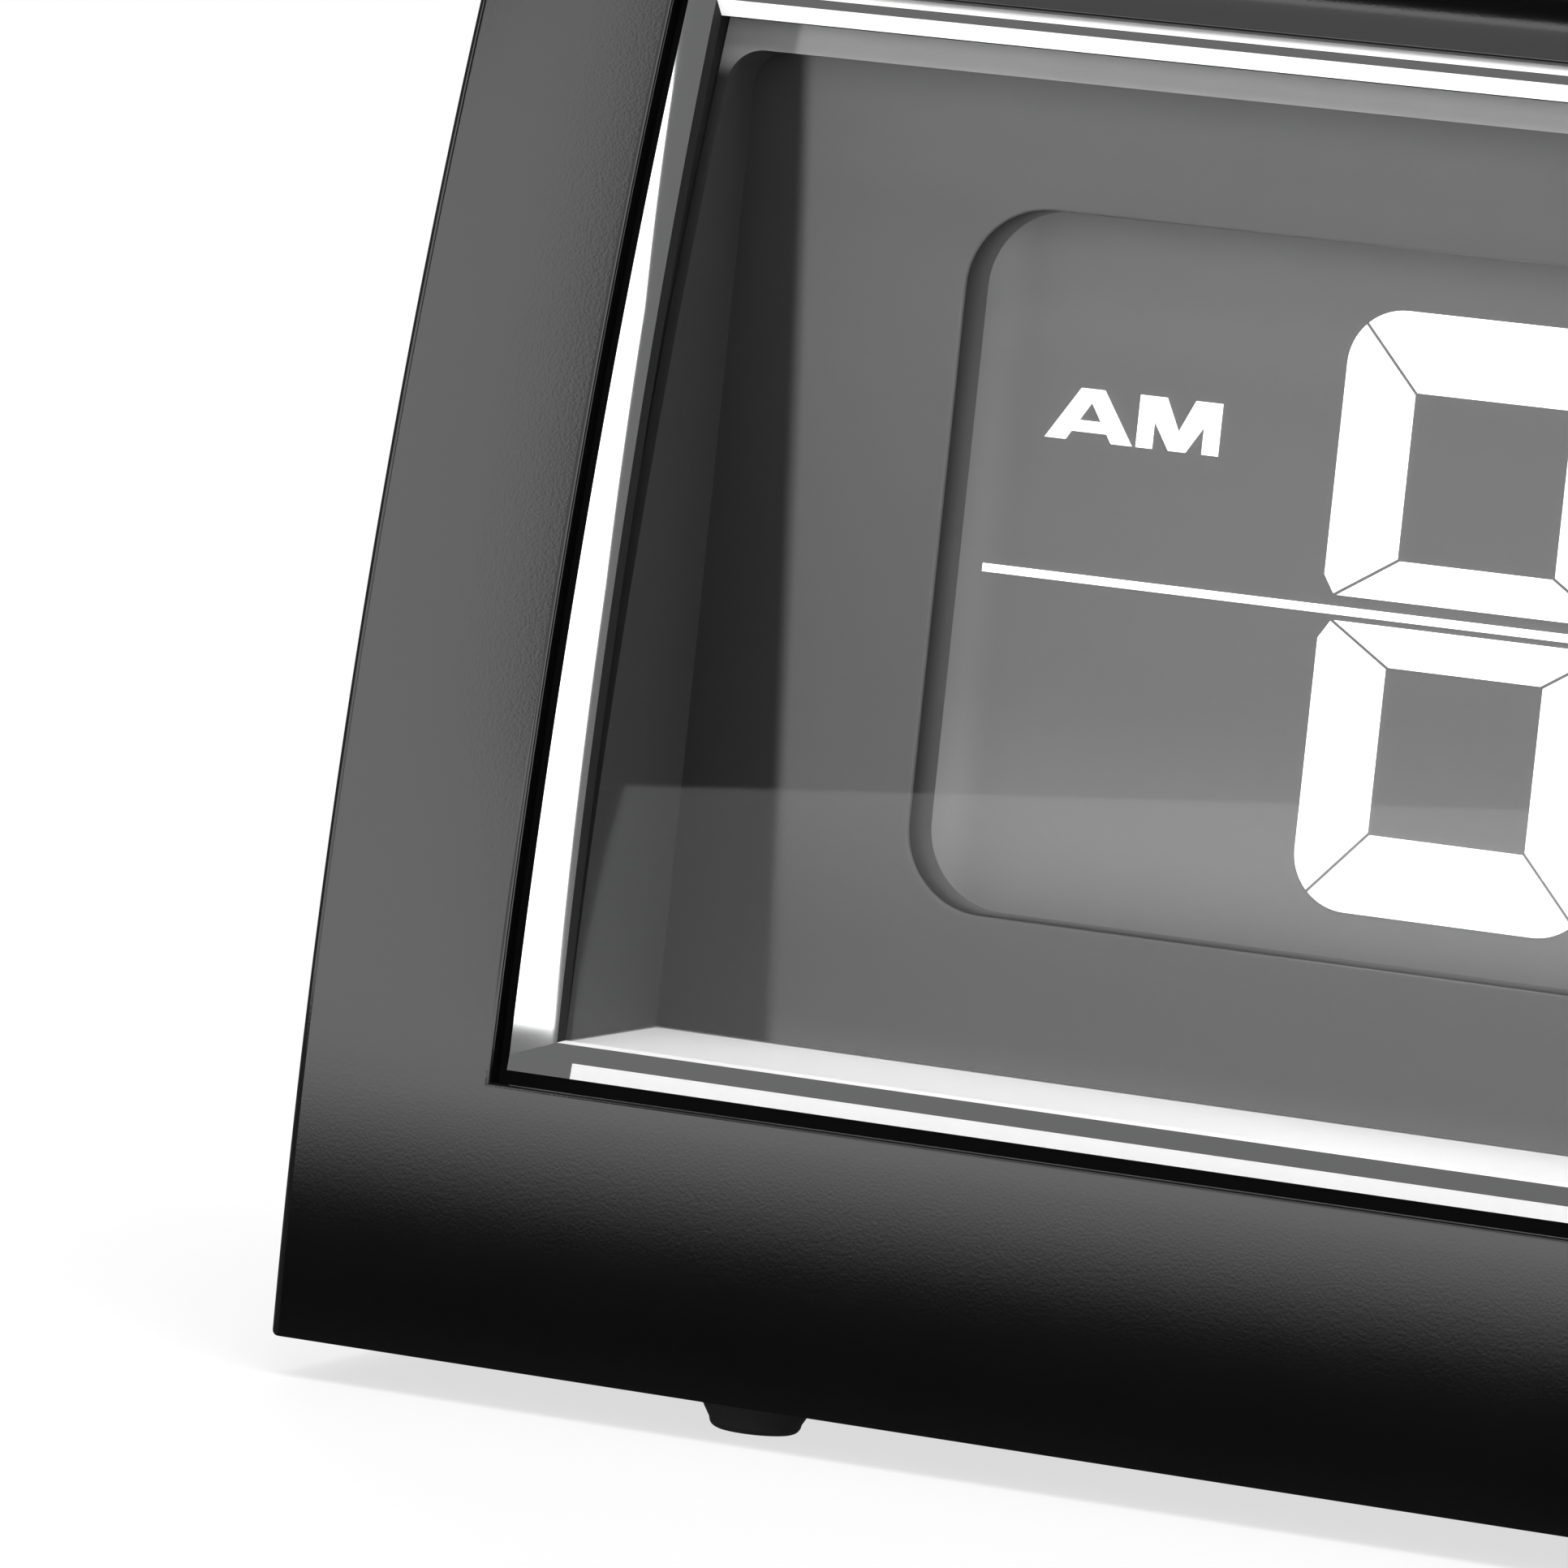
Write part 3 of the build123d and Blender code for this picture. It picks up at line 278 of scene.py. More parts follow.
def window_loop(half, low, high, inset=0.0, flat=None, face=None, sink=0.0):
    """Rectangle of points that follows the leaning front, or lies in one upright plane."""
    heights = [low + (high - low) * i / RING_STEPS for i in range(RING_STEPS + 1)]
    right = [(half if face is None else half - lip_width(z) * face, z) for z in heights]
    sides = right + [(x, high) for x in (half - CORNER, CORNER - half)]
    sides += [(-x, z) for x, z in reversed(right)]
    sides += [(x, low) for x in (CORNER - half, half - CORNER)]
    return [(x, front_y(z, inset + sink * lip_width(z)) if flat is None else flat, z) for x, z in sides]


def loft(loops, closed=True):
    """Skin over a row of loops of equal count, with the band of each face and its place on the loop."""
    n = len(loops[0])
    verts = [p for loop in loops for p in loop]
    faces, marks = [], []
    for k in range(len(loops) if closed else len(loops) - 1):
        a, b = k * n, (k + 1) % len(loops) * n
        for i in range(n):
            j = (i + 1) % n
            faces.append((a + i, a + j, b + j, b + i))
            marks.append((k, i))
    return verts, faces, marks


def bezel_loops():
    """Outer bevel, rounded face, inner lip, tunnel wall, back, outer wall and flange, in that order."""
    steep, shallow = radians(FACE_STEEP), radians(FACE_SHALLOW)
    sinks = [0.0]
    for k in range(FACE_STEPS):
        mid = (k + 0.5) / FACE_STEPS
        sinks.append(sinks[-1] + tan(steep * (1 - mid) + shallow * mid) / FACE_STEPS)
    edge = (BEZEL_HALF, BEZEL_LOW, BEZEL_HIGH)
    flange = (FLANGE_HALF, FLANGE_LOW, FLANGE_HIGH)
    loops = [window_loop(*edge, inset=BEVEL_SINK)]
    for k, sink in enumerate(sinks):
        s = k / FACE_STEPS
        low, high = FACE_LOW + FACE_RISE * s, FACE_HIGH - FACE_DROP * s
        loops.append(window_loop(FACE_HALF, low, high, inset=-FACE_PROUD, face=s, sink=sinks[-1] - sink))
    loops.append(window_loop(LIP_HALF, LIP_LOW, LIP_HIGH, inset=LIP_SINK, face=1.0))
    loops.append(window_loop(TUNNEL_HALF, SILL, TUNNEL_HIGH, inset=TUNNEL_SINK))
    loops.append(window_loop(TUNNEL_HALF, SILL, PANEL_TOP, flat=PANEL_BACK))
    loops.append(window_loop(*edge, flat=PANEL_BACK))
    loops.append(window_loop(*edge, inset=FLANGE_BACK))
    loops.append(window_loop(*flange, inset=FLANGE_BACK))
    loops.append(window_loop(*flange, inset=FLANGE_FRONT))
    loops.append(window_loop(*edge, inset=FLANGE_FRONT))
    return loops


def bezel_band(mark):
    """0 is the mirror finish, 1 the satin one with a painted glow, 2 the skirt, dark as a painted shadow,
    3 the lip with a stronger painted glow, 4 the tunnel's sides, dark as painted shade, and 5 the seat over
    the top bar with a painted glow."""
    band, i = mark
    side = i < RING_STEPS or RING_STEPS + 3 <= i < 2 * RING_STEPS + 3
    top = RING_STEPS <= i < RING_STEPS + 3
    corner = i in (RING_STEPS, RING_STEPS + 2, 2 * RING_STEPS + 3, 2 * RING_STEPS + 5)
    if band == 0:
        return 0 if corner or side else 1
    if band <= FACE_STEPS:
        return 0
    if band <= FACE_STEPS + 3:
        return 4 if side else 1 if not top else 3 if band == FACE_STEPS + 1 else 2
    return 5 if top else 2


chrome_mirror = surface("chrome_mirror", (0.95, 0.955, 0.96), 0.05, metallic=1.0, grain=140.0, spread=0.03)
# Satin bevels and sill: a little painted glow of their own colour.
chrome_satin_painted_glow = surface("chrome_satin_painted_glow", (0.9, 0.9, 0.9), 0.5, metallic=0.25, grain=700.0, spread=0.03,
                       glow=0.12)
# Skirt: dark paint as a painted shadow in the gap round the bezel.
bezel_skirt_painted_shadow = surface("bezel_skirt_painted_shadow", (0.0057, 0.0057, 0.0057), 0.7, grain=600.0, spread=0.1, ior=1.2)
# Upper lip: a stronger painted glow of its own colour.
chrome_lip_painted_glow = surface("chrome_lip_painted_glow", (0.9, 0.9, 0.9), 0.45, metallic=0.2, grain=700.0, spread=0.03, glow=0.5)
# Seat over the top bar: pale, with a painted glow.
seat_painted_glow = surface("seat_painted_glow", (0.9, 0.9, 0.9), 0.5, grain=700.0, spread=0.05, glow=0.12)
# Tunnel sides: dark paint as painted shade, where the bottom of the same tunnel is satin.
tunnel_painted_shade = surface("tunnel_painted_shade", (0.017, 0.017, 0.017), 0.7, grain=900.0, spread=0.08, ior=1.2)
verts, faces, marks = loft(bezel_loops())
bezel_finishes = [chrome_mirror, chrome_satin_painted_glow, bezel_skirt_painted_shadow, chrome_lip_painted_glow, tunnel_painted_shade, seat_painted_glow]
piece("bezel_ring", verts, faces, bezel_finishes, bands=[bezel_band(m) for m in marks], angle=6,
      slot="bright_chrome", replaced=["chrome_bezel"])

# Lens: a clear plastic sheet bent to the same curve and seated a millimetre behind the bezel's face.
# It is coated, so it shows only a faint veil of the room.
LENS_OUT, LENS_IN, LENS_HALF, LENS_LOW = 1.0, 2.6, 67.1, 23.1
LENS_TOP_OUT, LENS_TOP_IN = 87.85, 87.7


def maths(tree):
    """Two makers of nodes in one tree: sums for arithmetic, and ramp for a soft change of a value."""

    def sums(op, *values):
        n = tree.nodes.new("ShaderNodeMath")
        n.operation = op
        for socket, value in zip(n.inputs, values):
            if isinstance(value, (int, float)):
                socket.default_value = value
            else:
                tree.links.new(value, socket)
        return n.outputs["Value"]

    def ramp(value, start, stop, first=0.0, last=1.0):
        n = tree.nodes.new("ShaderNodeMapRange")
        n.interpolation_type = "SMOOTHSTEP"
        for label, number in (("From Min", start), ("From Max", stop), ("To Min", first), ("To Max", last)):
            n.inputs[label].default_value = number
        tree.links.new(value, n.inputs["Value"])
        return n.outputs["Result"]

    return sums, ramp


def clear_sheet(name, reflect, tint, vary=0.006):
    """Clear finish: it passes light and adds a clean reflection on the side that faces the viewer."""
    m = bpy.data.materials.new(name)
    m.use_nodes = True
    tree = m.node_tree
    tree.nodes.remove(tree.nodes["Principled BSDF"])
    out = tree.nodes["Material Output"]
    where = tree.nodes.new("ShaderNodeTexCoord")
    noise = tree.nodes.new("ShaderNodeTexNoise")
    noise.inputs["Scale"].default_value = 30.0
    tree.links.new(where.outputs["Object"], noise.inputs["Vector"])
    clear = tree.nodes.new("ShaderNodeBsdfTransparent")
    shade = tree.nodes.new("ShaderNodeMapRange")
    shade.inputs["To Min"].default_value = tint - vary
    shade.inputs["To Max"].default_value = tint + vary
    tree.links.new(noise.outputs["Fac"], shade.inputs["Value"])
    tree.links.new(shade.outputs["Result"], clear.inputs["Color"])
    gloss = tree.nodes.new("ShaderNodeBsdfGlossy")
    gloss.inputs["Roughness"].default_value = 0.02
    fresnel = tree.nodes.new("ShaderNodeFresnel")
    fresnel.inputs["IOR"].default_value = reflect
    facing = tree.nodes.new("ShaderNodeNewGeometry")
    sums, ramp = maths(tree)
    outer = sums("SUBTRACT", 1.0, facing.outputs["Backfacing"])
    mix = tree.nodes.new("ShaderNodeMixShader")
    tree.links.new(sums("MULTIPLY", fresnel.outputs["Fac"], outer), mix.inputs["Fac"])
    tree.links.new(clear.outputs["BSDF"], mix.inputs[1])
    tree.links.new(gloss.outputs["BSDF"], mix.inputs[2])
    tree.links.new(mix.outputs["Shader"], out.inputs["Surface"])
    return m


def lens_mesh():
    """Closed bent sheet: four upright rows of points, two on each face."""
    verts, faces = [], []
    n = RING_STEPS
    for inset, top in ((LENS_OUT, LENS_TOP_OUT), (LENS_IN, LENS_TOP_IN)):
        for x in (-LENS_HALF, LENS_HALF):
            for i in range(n + 1):
                z = LENS_LOW + (top - LENS_LOW) * i / n
                verts.append((x, front_y(z, inset), z))
    a, b, c, d = 0, n + 1, 2 * (n + 1), 3 * (n + 1)
    for i in range(n):
        faces += [(a + i, b + i, b + i + 1, a + i + 1), (c + i, c + i + 1, d + i + 1, d + i)]
        faces += [(a + i, a + i + 1, c + i + 1, c + i), (b + i, d + i, d + i + 1, b + i + 1)]
    faces += [(a, c, d, b), (a + n, b + n, d + n, c + n)]
    return verts, faces


lens_clear = clear_sheet("lens_clear", 1.3, 0.985)
piece("lens_sheet", *lens_mesh(), [lens_clear], slot="clear_lens", replaced=["display_lens"])

# Mask tray: a matt moulding. Its upright panel has the display cut-out with a deep collar, and its cheeks
# and brow run forward to the lens, where their front ends show as a pale edge. Its tones are painted light
# and shade: the panel is grey, painted lighter towards the top and with a painted shadow at each side, the
# walls are painted dark as shade, the collar wall is painted darker towards the front, and the front ends
# are painted dark below the brow, lifted along its top and darker at its ends.
CUT_HALF, CUT_LOW, CUT_HIGH, CUT_R, CUT_EASE = 51.0, 32.8, 77.2, 5.2, 0.25
EASE_SHARE, HOLLOW_BEND_SHARE = 0.3, 0.3
LCD_Y, LCD_GAP, COLLAR_WIDE = -9.85, 0.02, 1.4
TRAY_HALF, TRAY_LOW, TRAY_HIGH, TRAY_REACH, BROW_TOP = 67.1, 23.1, 86.9, 31.9, 87.1
HOLLOW_HALF, HOLLOW_TOP, HOLLOW_R, HOLLOW_STEPS = 66.4, 85.25, 2.1, 40
SILL_GAP, LENS_GAP, WALL_LAP = 0.1, 0.05, 0.4
# Edge of the panel's painted shadow at its sides: half width of the lit grey at the sill, and its lean.
PANEL_SHADOW_EDGE_HALF, PANEL_SHADOW_EDGE_LEAN = 59.4, 0.0674


def rounded(half, low, high, radius, count=14, square_low=False):
    """Outline of a rectangle with round corners, from the lower right round to the lower left."""
    points = []
    for cx, cz, start in ((half, low, -90), (half, high, 0), (-half, high, 90), (-half, low, 180)):
        if square_low and cz == low:
            points.append((cx, cz))
            continue
        mx = cx - radius if cx > 0 else cx + radius
        mz = cz - radius if cz == high else cz + radius
        for i in range(count + 1):
            t = radians(start + 90 * i / count)
            points.append((mx + radius * cos(t), mz + radius * sin(t)))
    return points


def cut_outline(grow):
    return rounded(CUT_HALF + grow, CUT_LOW - grow, CUT_HIGH + grow, CUT_R + grow)


def tray_mesh():
    """Panel with its collar, then the cheeks and brow as one bent wall, each closed."""
    hole = cut_outline(0.0)
    n = len(hole)
    outer = []
    for x, z in hole:
        dx, dz = x / CUT_HALF, (z - (CUT_LOW + CUT_HIGH) / 2) / (CUT_HIGH - CUT_LOW) * 2
        reach = max(abs(dx), abs(dz))
        outer.append((TRAY_HALF * dx / reach, (SILL + PANEL_TOP) / 2 + TRAY_REACH * dz / reach))
    corners = [(TRAY_HALF, TRAY_LOW), (TRAY_HALF, TRAY_HIGH)]
    corners += [(-x, z) for x, z in reversed(corners)]
    for cx, cz in corners:
        near = min(range(n), key=lambda i: (outer[i][0] - cx) ** 2 + (outer[i][1] - cz) ** 2)
        outer[near] = (cx, cz)
    part_ease = CUT_EASE * EASE_SHARE
    collar = cut_outline(COLLAR_WIDE)
    loops = [
        [(x, PANEL_Y, z) for x, z in outer],
        [(x, PANEL_Y, z) for x, z in cut_outline(CUT_EASE)],
        [(x, PANEL_Y + part_ease, z) for x, z in cut_outline(part_ease)],
        [(x, PANEL_Y + CUT_EASE, z) for x, z in hole],
        [(x, LCD_Y - LCD_GAP, z) for x, z in hole],
        [(x, LCD_Y - LCD_GAP, z) for x, z in collar],
        [(x, PANEL_BACK, z) for x, z in collar],
        [(x, PANEL_BACK, z) for x, z in outer],
    ]
    verts, faces, marks = loft(loops)
    bands = [2 if 3 <= k <= 4 else 0 for k, i in marks]
    inner = rounded(HOLLOW_HALF, SILL + SILL_GAP, HOLLOW_TOP, HOLLOW_R, square_low=True)
    wall_in, wall_out = [], []
    for i in range(HOLLOW_STEPS + 1):
        z = SILL + SILL_GAP + (HOLLOW_TOP - HOLLOW_R - SILL - SILL_GAP) * i / HOLLOW_STEPS
        wall_in.append((HOLLOW_HALF, z))
        wall_out.append((TRAY_HALF, z))
    for x, z in inner[1:-1]:
        if z > HOLLOW_TOP - HOLLOW_R + 1e-6:
            wall_in.append((x, z))
            out_x = x * TRAY_HALF / (HOLLOW_HALF - HOLLOW_R * HOLLOW_BEND_SHARE)
            wall_out.append((max(-TRAY_HALF, min(TRAY_HALF, out_x)), BROW_TOP))
    for i in range(HOLLOW_STEPS, -1, -1):
        x, z = wall_in[i]
        wall_in.append((-x, z))
        wall_out.append((-TRAY_HALF, wall_out[i][1]))
    m = len(wall_in)
    base = len(verts)
    seat = LENS_IN + LENS_GAP
    verts += [(x, front_y(z, seat), z) for x, z in wall_in]
    verts += [(x, front_y(z, seat), z) for x, z in wall_out]
    verts += [(x, PANEL_Y + WALL_LAP, z) for x, z in wall_in]
    verts += [(x, PANEL_Y + WALL_LAP, z) for x, z in wall_out]
    a, b, c, d = base, base + m, base + 2 * m, base + 3 * m
    for i in range(m - 1):
        faces.append((a + i, a + i + 1, b + i + 1, b + i))
        bands.append(1)
        for quad in ((a + i, c + i, c + i + 1, a + i + 1), (b + i, b + i + 1, d + i + 1, d + i),
                     (c + i, d + i, d + i + 1, c + i + 1)):
            faces.append(quad)
            bands.append(3)
    for i in (0, m - 1):
        faces.append((a + i, b + i, d + i, c + i))
        bands.append(0)
    return verts, faces, bands


def painted_grade(name, rough, axis, low, high, tone_low, tone_high, shade=None, ends=None, ior=1.5, bump=0.0):
    """Matt finish of painted light and shade, whose tone runs along one axis, with places in millimetres. A
    shade changes it between two heights, to a share of its tone, which lifts it as painted light where the
    share is above one. The ends change it outside a half width, which may lean, as painted shade or light."""
    m = surface(name, (1.0, 1.0, 1.0), rough, grain=500.0, spread=0.02, ior=ior, bump=bump)
    tree = m.node_tree
    where = next(n for n in tree.nodes if n.bl_idname == "ShaderNodeTexCoord")
    scale = next(n for n in tree.nodes if n.bl_idname == "ShaderNodeVectorMath")
    split = tree.nodes.new("ShaderNodeSeparateXYZ")
    tree.links.new(where.outputs["Object"], split.inputs["Vector"])
    sums, ramp = maths(tree)
    tone = ramp(split.outputs[axis], low / 1000, high / 1000, tone_low, tone_high)
    if shade:
        from_z, to_z, share = shade
        tone = sums("MULTIPLY", tone, ramp(split.outputs["Z"], from_z / 1000, to_z / 1000, 1.0, share))
    if ends:
        half, lean, soft, share = ends
        edge = half - lean * SILL
        side = sums("ABSOLUTE", split.outputs["X"])
        side = sums("MULTIPLY_ADD", split.outputs["Z"], -lean, side)
        tone = sums("MULTIPLY", tone, ramp(side, (edge - soft) / 1000, edge / 1000, 1.0, share))
    tree.links.new(tone, scale.inputs[0])
    return m


# Walls: painted darker than the panel, as painted shade on faces that turn away from the light.
mask_cheek_painted_shade = surface("mask_cheek_painted_shade", (0.039, 0.039, 0.0395), 0.62, grain=1500.0, spread=0.08, ior=1.35)
# Panel: painted lighter upwards and lifted under the brow as painted light, with a painted shadow at each
# side beyond a leaning edge.
mask_panel_painted_light_shade = painted_grade("mask_panel_painted_light_shade", 0.62, "Z", 43.0, 84.0, 0.104, 0.129, shade=(76.0, 85.2, 1.6),
                    ends=(PANEL_SHADOW_EDGE_HALF, PANEL_SHADOW_EDGE_LEAN, 1.3, 0.135), ior=1.35, bump=0.03)
# Front ends: painted dark below the brow's rounded corners as painted shade, lifted along the top as painted
# light, darker at the brow's ends as painted shade.
mask_edge_painted_light_shade = painted_grade("mask_edge_painted_light_shade", 0.5, "Z", 83.2, 85.2, 0.017, 0.379, shade=(85.3, BROW_TOP, 1.55),
                   ends=(62.6, 0.0, 0.6, 0.55))
# Collar wall: painted dark at the front and lighter towards the display, as painted shade in the recess.
mask_wall_painted_shade = painted_grade("mask_wall_painted_shade", 0.8, "Y", PANEL_Y, LCD_Y, 0.0145, 0.115, ior=1.2)
verts, faces, bands = tray_mesh()
piece("mask_tray_panel", verts, faces, [mask_panel_painted_light_shade, mask_edge_painted_light_shade, mask_wall_painted_shade, mask_cheek_painted_shade], bands=bands, angle=40,
      slot="mask_dark", replaced=["mask_tray"])

# Display: two sheets of glass over a light guide, with a white reflector behind and lamp bars at the ends,
# all clipped in a white holder. The grey field is painted brighter towards its edges: towards its lower
# edge as a painted reflection, and towards its top and sides as painted light against the collar's shade.


def dress(node, material):
    """Gives a CAD node its finish."""
    ob = nodes[node]
    ob.data.materials.clear()
    ob.data.materials.append(material)
    return ob


# Painted reflection low on the field, and painted light at its top and sides.
lcd_field_painted_light = painted_grade("lcd_field_painted_light", 0.5, "Z", CUT_LOW + 2.0, CUT_LOW + 16.0, 0.202, 0.14,
                   shade=(66.0, 77.0, 1.42), ends=(CUT_HALF, 0.0, 3.5, 1.6))
dress("lcd_front_glass", lcd_field_painted_light)
dress("lcd_rear_glass", surface("lcd_rear", (0.2, 0.21, 0.21), 0.2, spread=0.03))
dress("light_guide", surface("guide_pale", (0.8, 0.85, 0.86), 0.15, spread=0.03))
white_card = surface("reflector_white", (0.85, 0.85, 0.83), 0.6, spread=0.03)
dress("reflector_sheet", white_card)
dress("lcd_holder", white_card)
dress("backlight_led_bars", surface("led_pale", (0.85, 0.8, 0.6), 0.3, spread=0.05))
rubber_black = surface("rubber_black", (0.017, 0.017, 0.017), 0.75, grain=2200.0, spread=0.15, bump=0.2)
dress("lcd_contact_strip", rubber_black)

# Shown marks: white segments of the digits, the AM mark, the colon and the fine split line. They are the
# open parts of the display, so they glow evenly and have no thickness to speak of.
DIGIT_LOW, DIGIT_W, DIGIT_H, DIGIT_R = 35.45, 19.4, 37.9, 3.6
BAR_X, BAR_Z, MID_LOW, MID_HIGH, MITRE_GAP = 4.6, 5.0, 15.75, 22.4, 0.1
MID_TAPER_X, MID_TAPER_Z, MID_SPLIT = 0.75, 1.2, 19.87
FIRST_DIGIT, SECOND_DIGIT, THIRD_DIGIT = -26.95, 3.3, 26.3
COLON_LEFT, COLON_RIGHT, COLON_HIGH, COLON_PLACES = -3.7, -0.9, 2.8, (44.6, 61.2)
LETTER_LOW, LETTER_HIGH, A_LEFT, A_WIDE, M_LEFT, M_WIDE = 63.0, 3.3, -46.2, 5.8, -40.15, 5.45
SPLIT_HALF, SPLIT_LOW, SPLIT_HIGH = 49.4, 54.1, 54.62
MARK_FRONT, MARK_BACK = LCD_Y - 0.09, LCD_Y - 0.03


def corner_arc(cx, cz, a0, a1, count=8):
    turns = [radians(a0 + (a1 - a0) * i / count) for i in range(count + 1)]
    return [(cx + DIGIT_R * cos(turn), cz + DIGIT_R * sin(turn)) for turn in turns]


def shrink(points, mitres, d):
    """Moves the mitred sides of an outline inwards, each side known by its first point."""
    area = sum(p[0] * q[1] - q[0] * p[1] for p, q in zip(points, points[1:] + points[:1]))
    way = 1 if area > 0 else -1
    out = []
    for i, p in enumerate(points):
        before, after = points[i - 1], points[(i + 1) % len(points)]
        e0 = Vector((p[0] - before[0], p[1] - before[1])).normalized()
        e1 = Vector((after[0] - p[0], after[1] - p[1])).normalized()
        d0 = d if (i - 1) % len(points) in mitres else 0.0
        d1 = d if i in mitres else 0.0
        cross = e0.x * e1.y - e0.y * e1.x
        if abs(cross) < 0.05:
            out.append((p[0] - e0.y * way * d0, p[1] + e0.x * way * d0))
        else:
            k0, k1 = d1 / cross * way, d0 / cross * way
            out.append((p[0] - e0.x * k0 + e1.x * k1, p[1] - e0.y * k0 + e1.y * k1))
    return out


def upper_segments():
    """Upper half of a digit: top, left, right and half of the middle bar, with their mitred sides."""
    w, h, r = DIGIT_W, DIGIT_H, DIGIT_R
    taper_x, taper_z, mid = MID_TAPER_X, MID_TAPER_Z, MID_SPLIT
    top = corner_arc(w - r, h - r, 45, 90) + corner_arc(r, h - r, 90, 135)
    top += [(BAR_X, h - BAR_Z), (w - BAR_X, h - BAR_Z)]
    left = corner_arc(r, h - r, 135, 180)
    left += [(0.0, mid + taper_z), (taper_x, mid), (BAR_X, MID_HIGH), (BAR_X, h - BAR_Z)]
    right = [(w - x, z) for x, z in reversed(left)]
    middle = [(taper_x, mid), (w - taper_x, mid), (w - BAR_X, MID_HIGH), (BAR_X, MID_HIGH)]
    n, k = len(top), len(left)
    return {"top": (top, (n - 3, n - 1)), "left": (left, (k - 3, k - 1)), "right": (right, (1, k - 1)),
            "middle": (middle, (1, 3))}


def digit_outlines(x0, upper, lower):
    """Lit segments of one digit, whose lower half is the upper one mirrored."""
    mirror = MID_LOW + MID_HIGH
    outlines = []
    for name, (points, mitres) in upper_segments().items():
        cut = shrink(points, mitres, MITRE_GAP)
        if name in upper:
            outlines.append([(x0 + x, DIGIT_LOW + z) for x, z in cut])
        if name in lower:
            outlines.append([(x0 + x, DIGIT_LOW + mirror - z) for x, z in reversed(cut)])
    return outlines


def plate(outline, y0, y1, verts, faces):
    """Adds a closed plate of an outline in X and Z."""
    n, base = len(outline), len(verts)
    for y in (y0, y1):
        verts += [(x, y, z) for x, z in outline]
    faces.append([base + i for i in range(n)])
    faces.append([base + n + i for i in reversed(range(n))])
    for i in range(n):
        j = (i + 1) % n
        faces.append((base + i, base + n + i, base + n + j, base + j))


def letter_a(x, z, w, h):
    """Wide bold letter: one bent stroke, and a bar across it."""
    s = 0.24 * w
    apex = x + w / 2
    left = [(x, z), (x + s, z), (apex, z + h * 0.74)]
    right = [(x + w - s, z), (x + w, z), (apex + s * 0.56, z + h), (apex - s * 0.56, z + h)]
    bar = [(x + s * 0.95, z + h * 0.17), (x + w - s * 0.95, z + h * 0.17)]
    bar += [(x + w - s * 1.22, z + h * 0.39), (x + s * 1.22, z + h * 0.39)]
    return [left + right, bar]


def letter_m(x, z, w, h):
    """Wide bold letter in one bent stroke."""
    s = 0.2 * w
    mid = x + w / 2
    half = [(x, z), (x + s, z), (x + s, z + h * 0.52), (mid - s * 0.52, z)]
    crest = [(x + w, z + h), (x + w - s * 1.62, z + h), (mid, z + h * 0.38)]
    crest += [(x + s * 1.62, z + h), (x, z + h)]
    return [half + [(2 * mid - px, pz) for px, pz in reversed(half)] + crest]


full = ("top", "left", "right", "middle")
ring_half = ("top", "left", "right")
open_half = ("top", "right", "middle")
outlines = digit_outlines(FIRST_DIGIT, full, full)
outlines += digit_outlines(SECOND_DIGIT, open_half, open_half)
outlines += digit_outlines(THIRD_DIGIT, ring_half, ring_half)
for z in COLON_PLACES:
    top = z + COLON_HIGH
    outlines.append([(COLON_LEFT, z), (COLON_RIGHT, z), (COLON_RIGHT, top), (COLON_LEFT, top)])
outlines += letter_a(A_LEFT, LETTER_LOW, A_WIDE, LETTER_HIGH)
outlines += letter_m(M_LEFT, LETTER_LOW, M_WIDE, LETTER_HIGH)
outlines.append([(-SPLIT_HALF, SPLIT_LOW), (SPLIT_HALF, SPLIT_LOW), (SPLIT_HALF, SPLIT_HIGH),
                 (-SPLIT_HALF, SPLIT_HIGH)])
verts, faces = [], []
for outline in outlines:
    plate(outline, MARK_FRONT, MARK_BACK, verts, faces)
mark_white = surface("mark_white", (1.0, 1.0, 1.0), 0.5, grain=300.0, spread=0.02, glow=1.0)
piece("display_marks", verts, faces, [mark_white], slot="lcd_glass")

# Boards and what stands on them: green laminate with black moulded parts, held by plated steel screws.
# Leads and a ribbon join them, the cell contacts are spring steel and the snooze bracket is grey plastic.
board_green = surface("board_green", (0.02, 0.12, 0.055), 0.45, grain=400.0, spread=0.12, bump=0.05)
component_black = surface("component_black", (0.02, 0.02, 0.02), 0.5, spread=0.1, bump=0.1)
steel_screw = surface("screw_steel", (0.55, 0.55, 0.54), 0.3, metallic=1.0, grain=800.0, spread=0.1)
steel_spring = surface("spring_steel", (0.66, 0.65, 0.62), 0.25, metallic=1.0, grain=500.0, spread=0.08)
for node in ("main_board", "key_board"):
    dress(node, board_green)
for node in ("clock_chip", "snooze_switch", "key_switches", "alarm_slide_switch", "power_inlet", "buzzer",
             "capacitors", "ribbon_sockets"):
    dress(node, component_black)
for node in ("main_board_screws", "snooze_bracket_screws", "key_board_screws", "rear_cover_screws"):
    dress(node, steel_screw)
for node in ("battery_contact_plates", "battery_contact_springs", "quartz_crystal", "power_inlet_pin"):
    dress(node, steel_spring)
dress("snooze_bracket", surface("bracket_grey", (0.2, 0.2, 0.21), 0.55, spread=0.06))
dress("battery_lead_red", surface("lead_red", (0.4, 0.01, 0.01), 0.45, spread=0.08))
lead_black = surface("lead_black", (0.015, 0.015, 0.015), 0.45, spread=0.1)
for node in ("battery_lead_black", "buzzer_leads"):
    dress(node, lead_black)
ribbon_grey = surface("ribbon_grey", (0.4, 0.4, 0.41), 0.5, grain=300.0, spread=0.08)
dress("ribbon_cable", ribbon_grey)

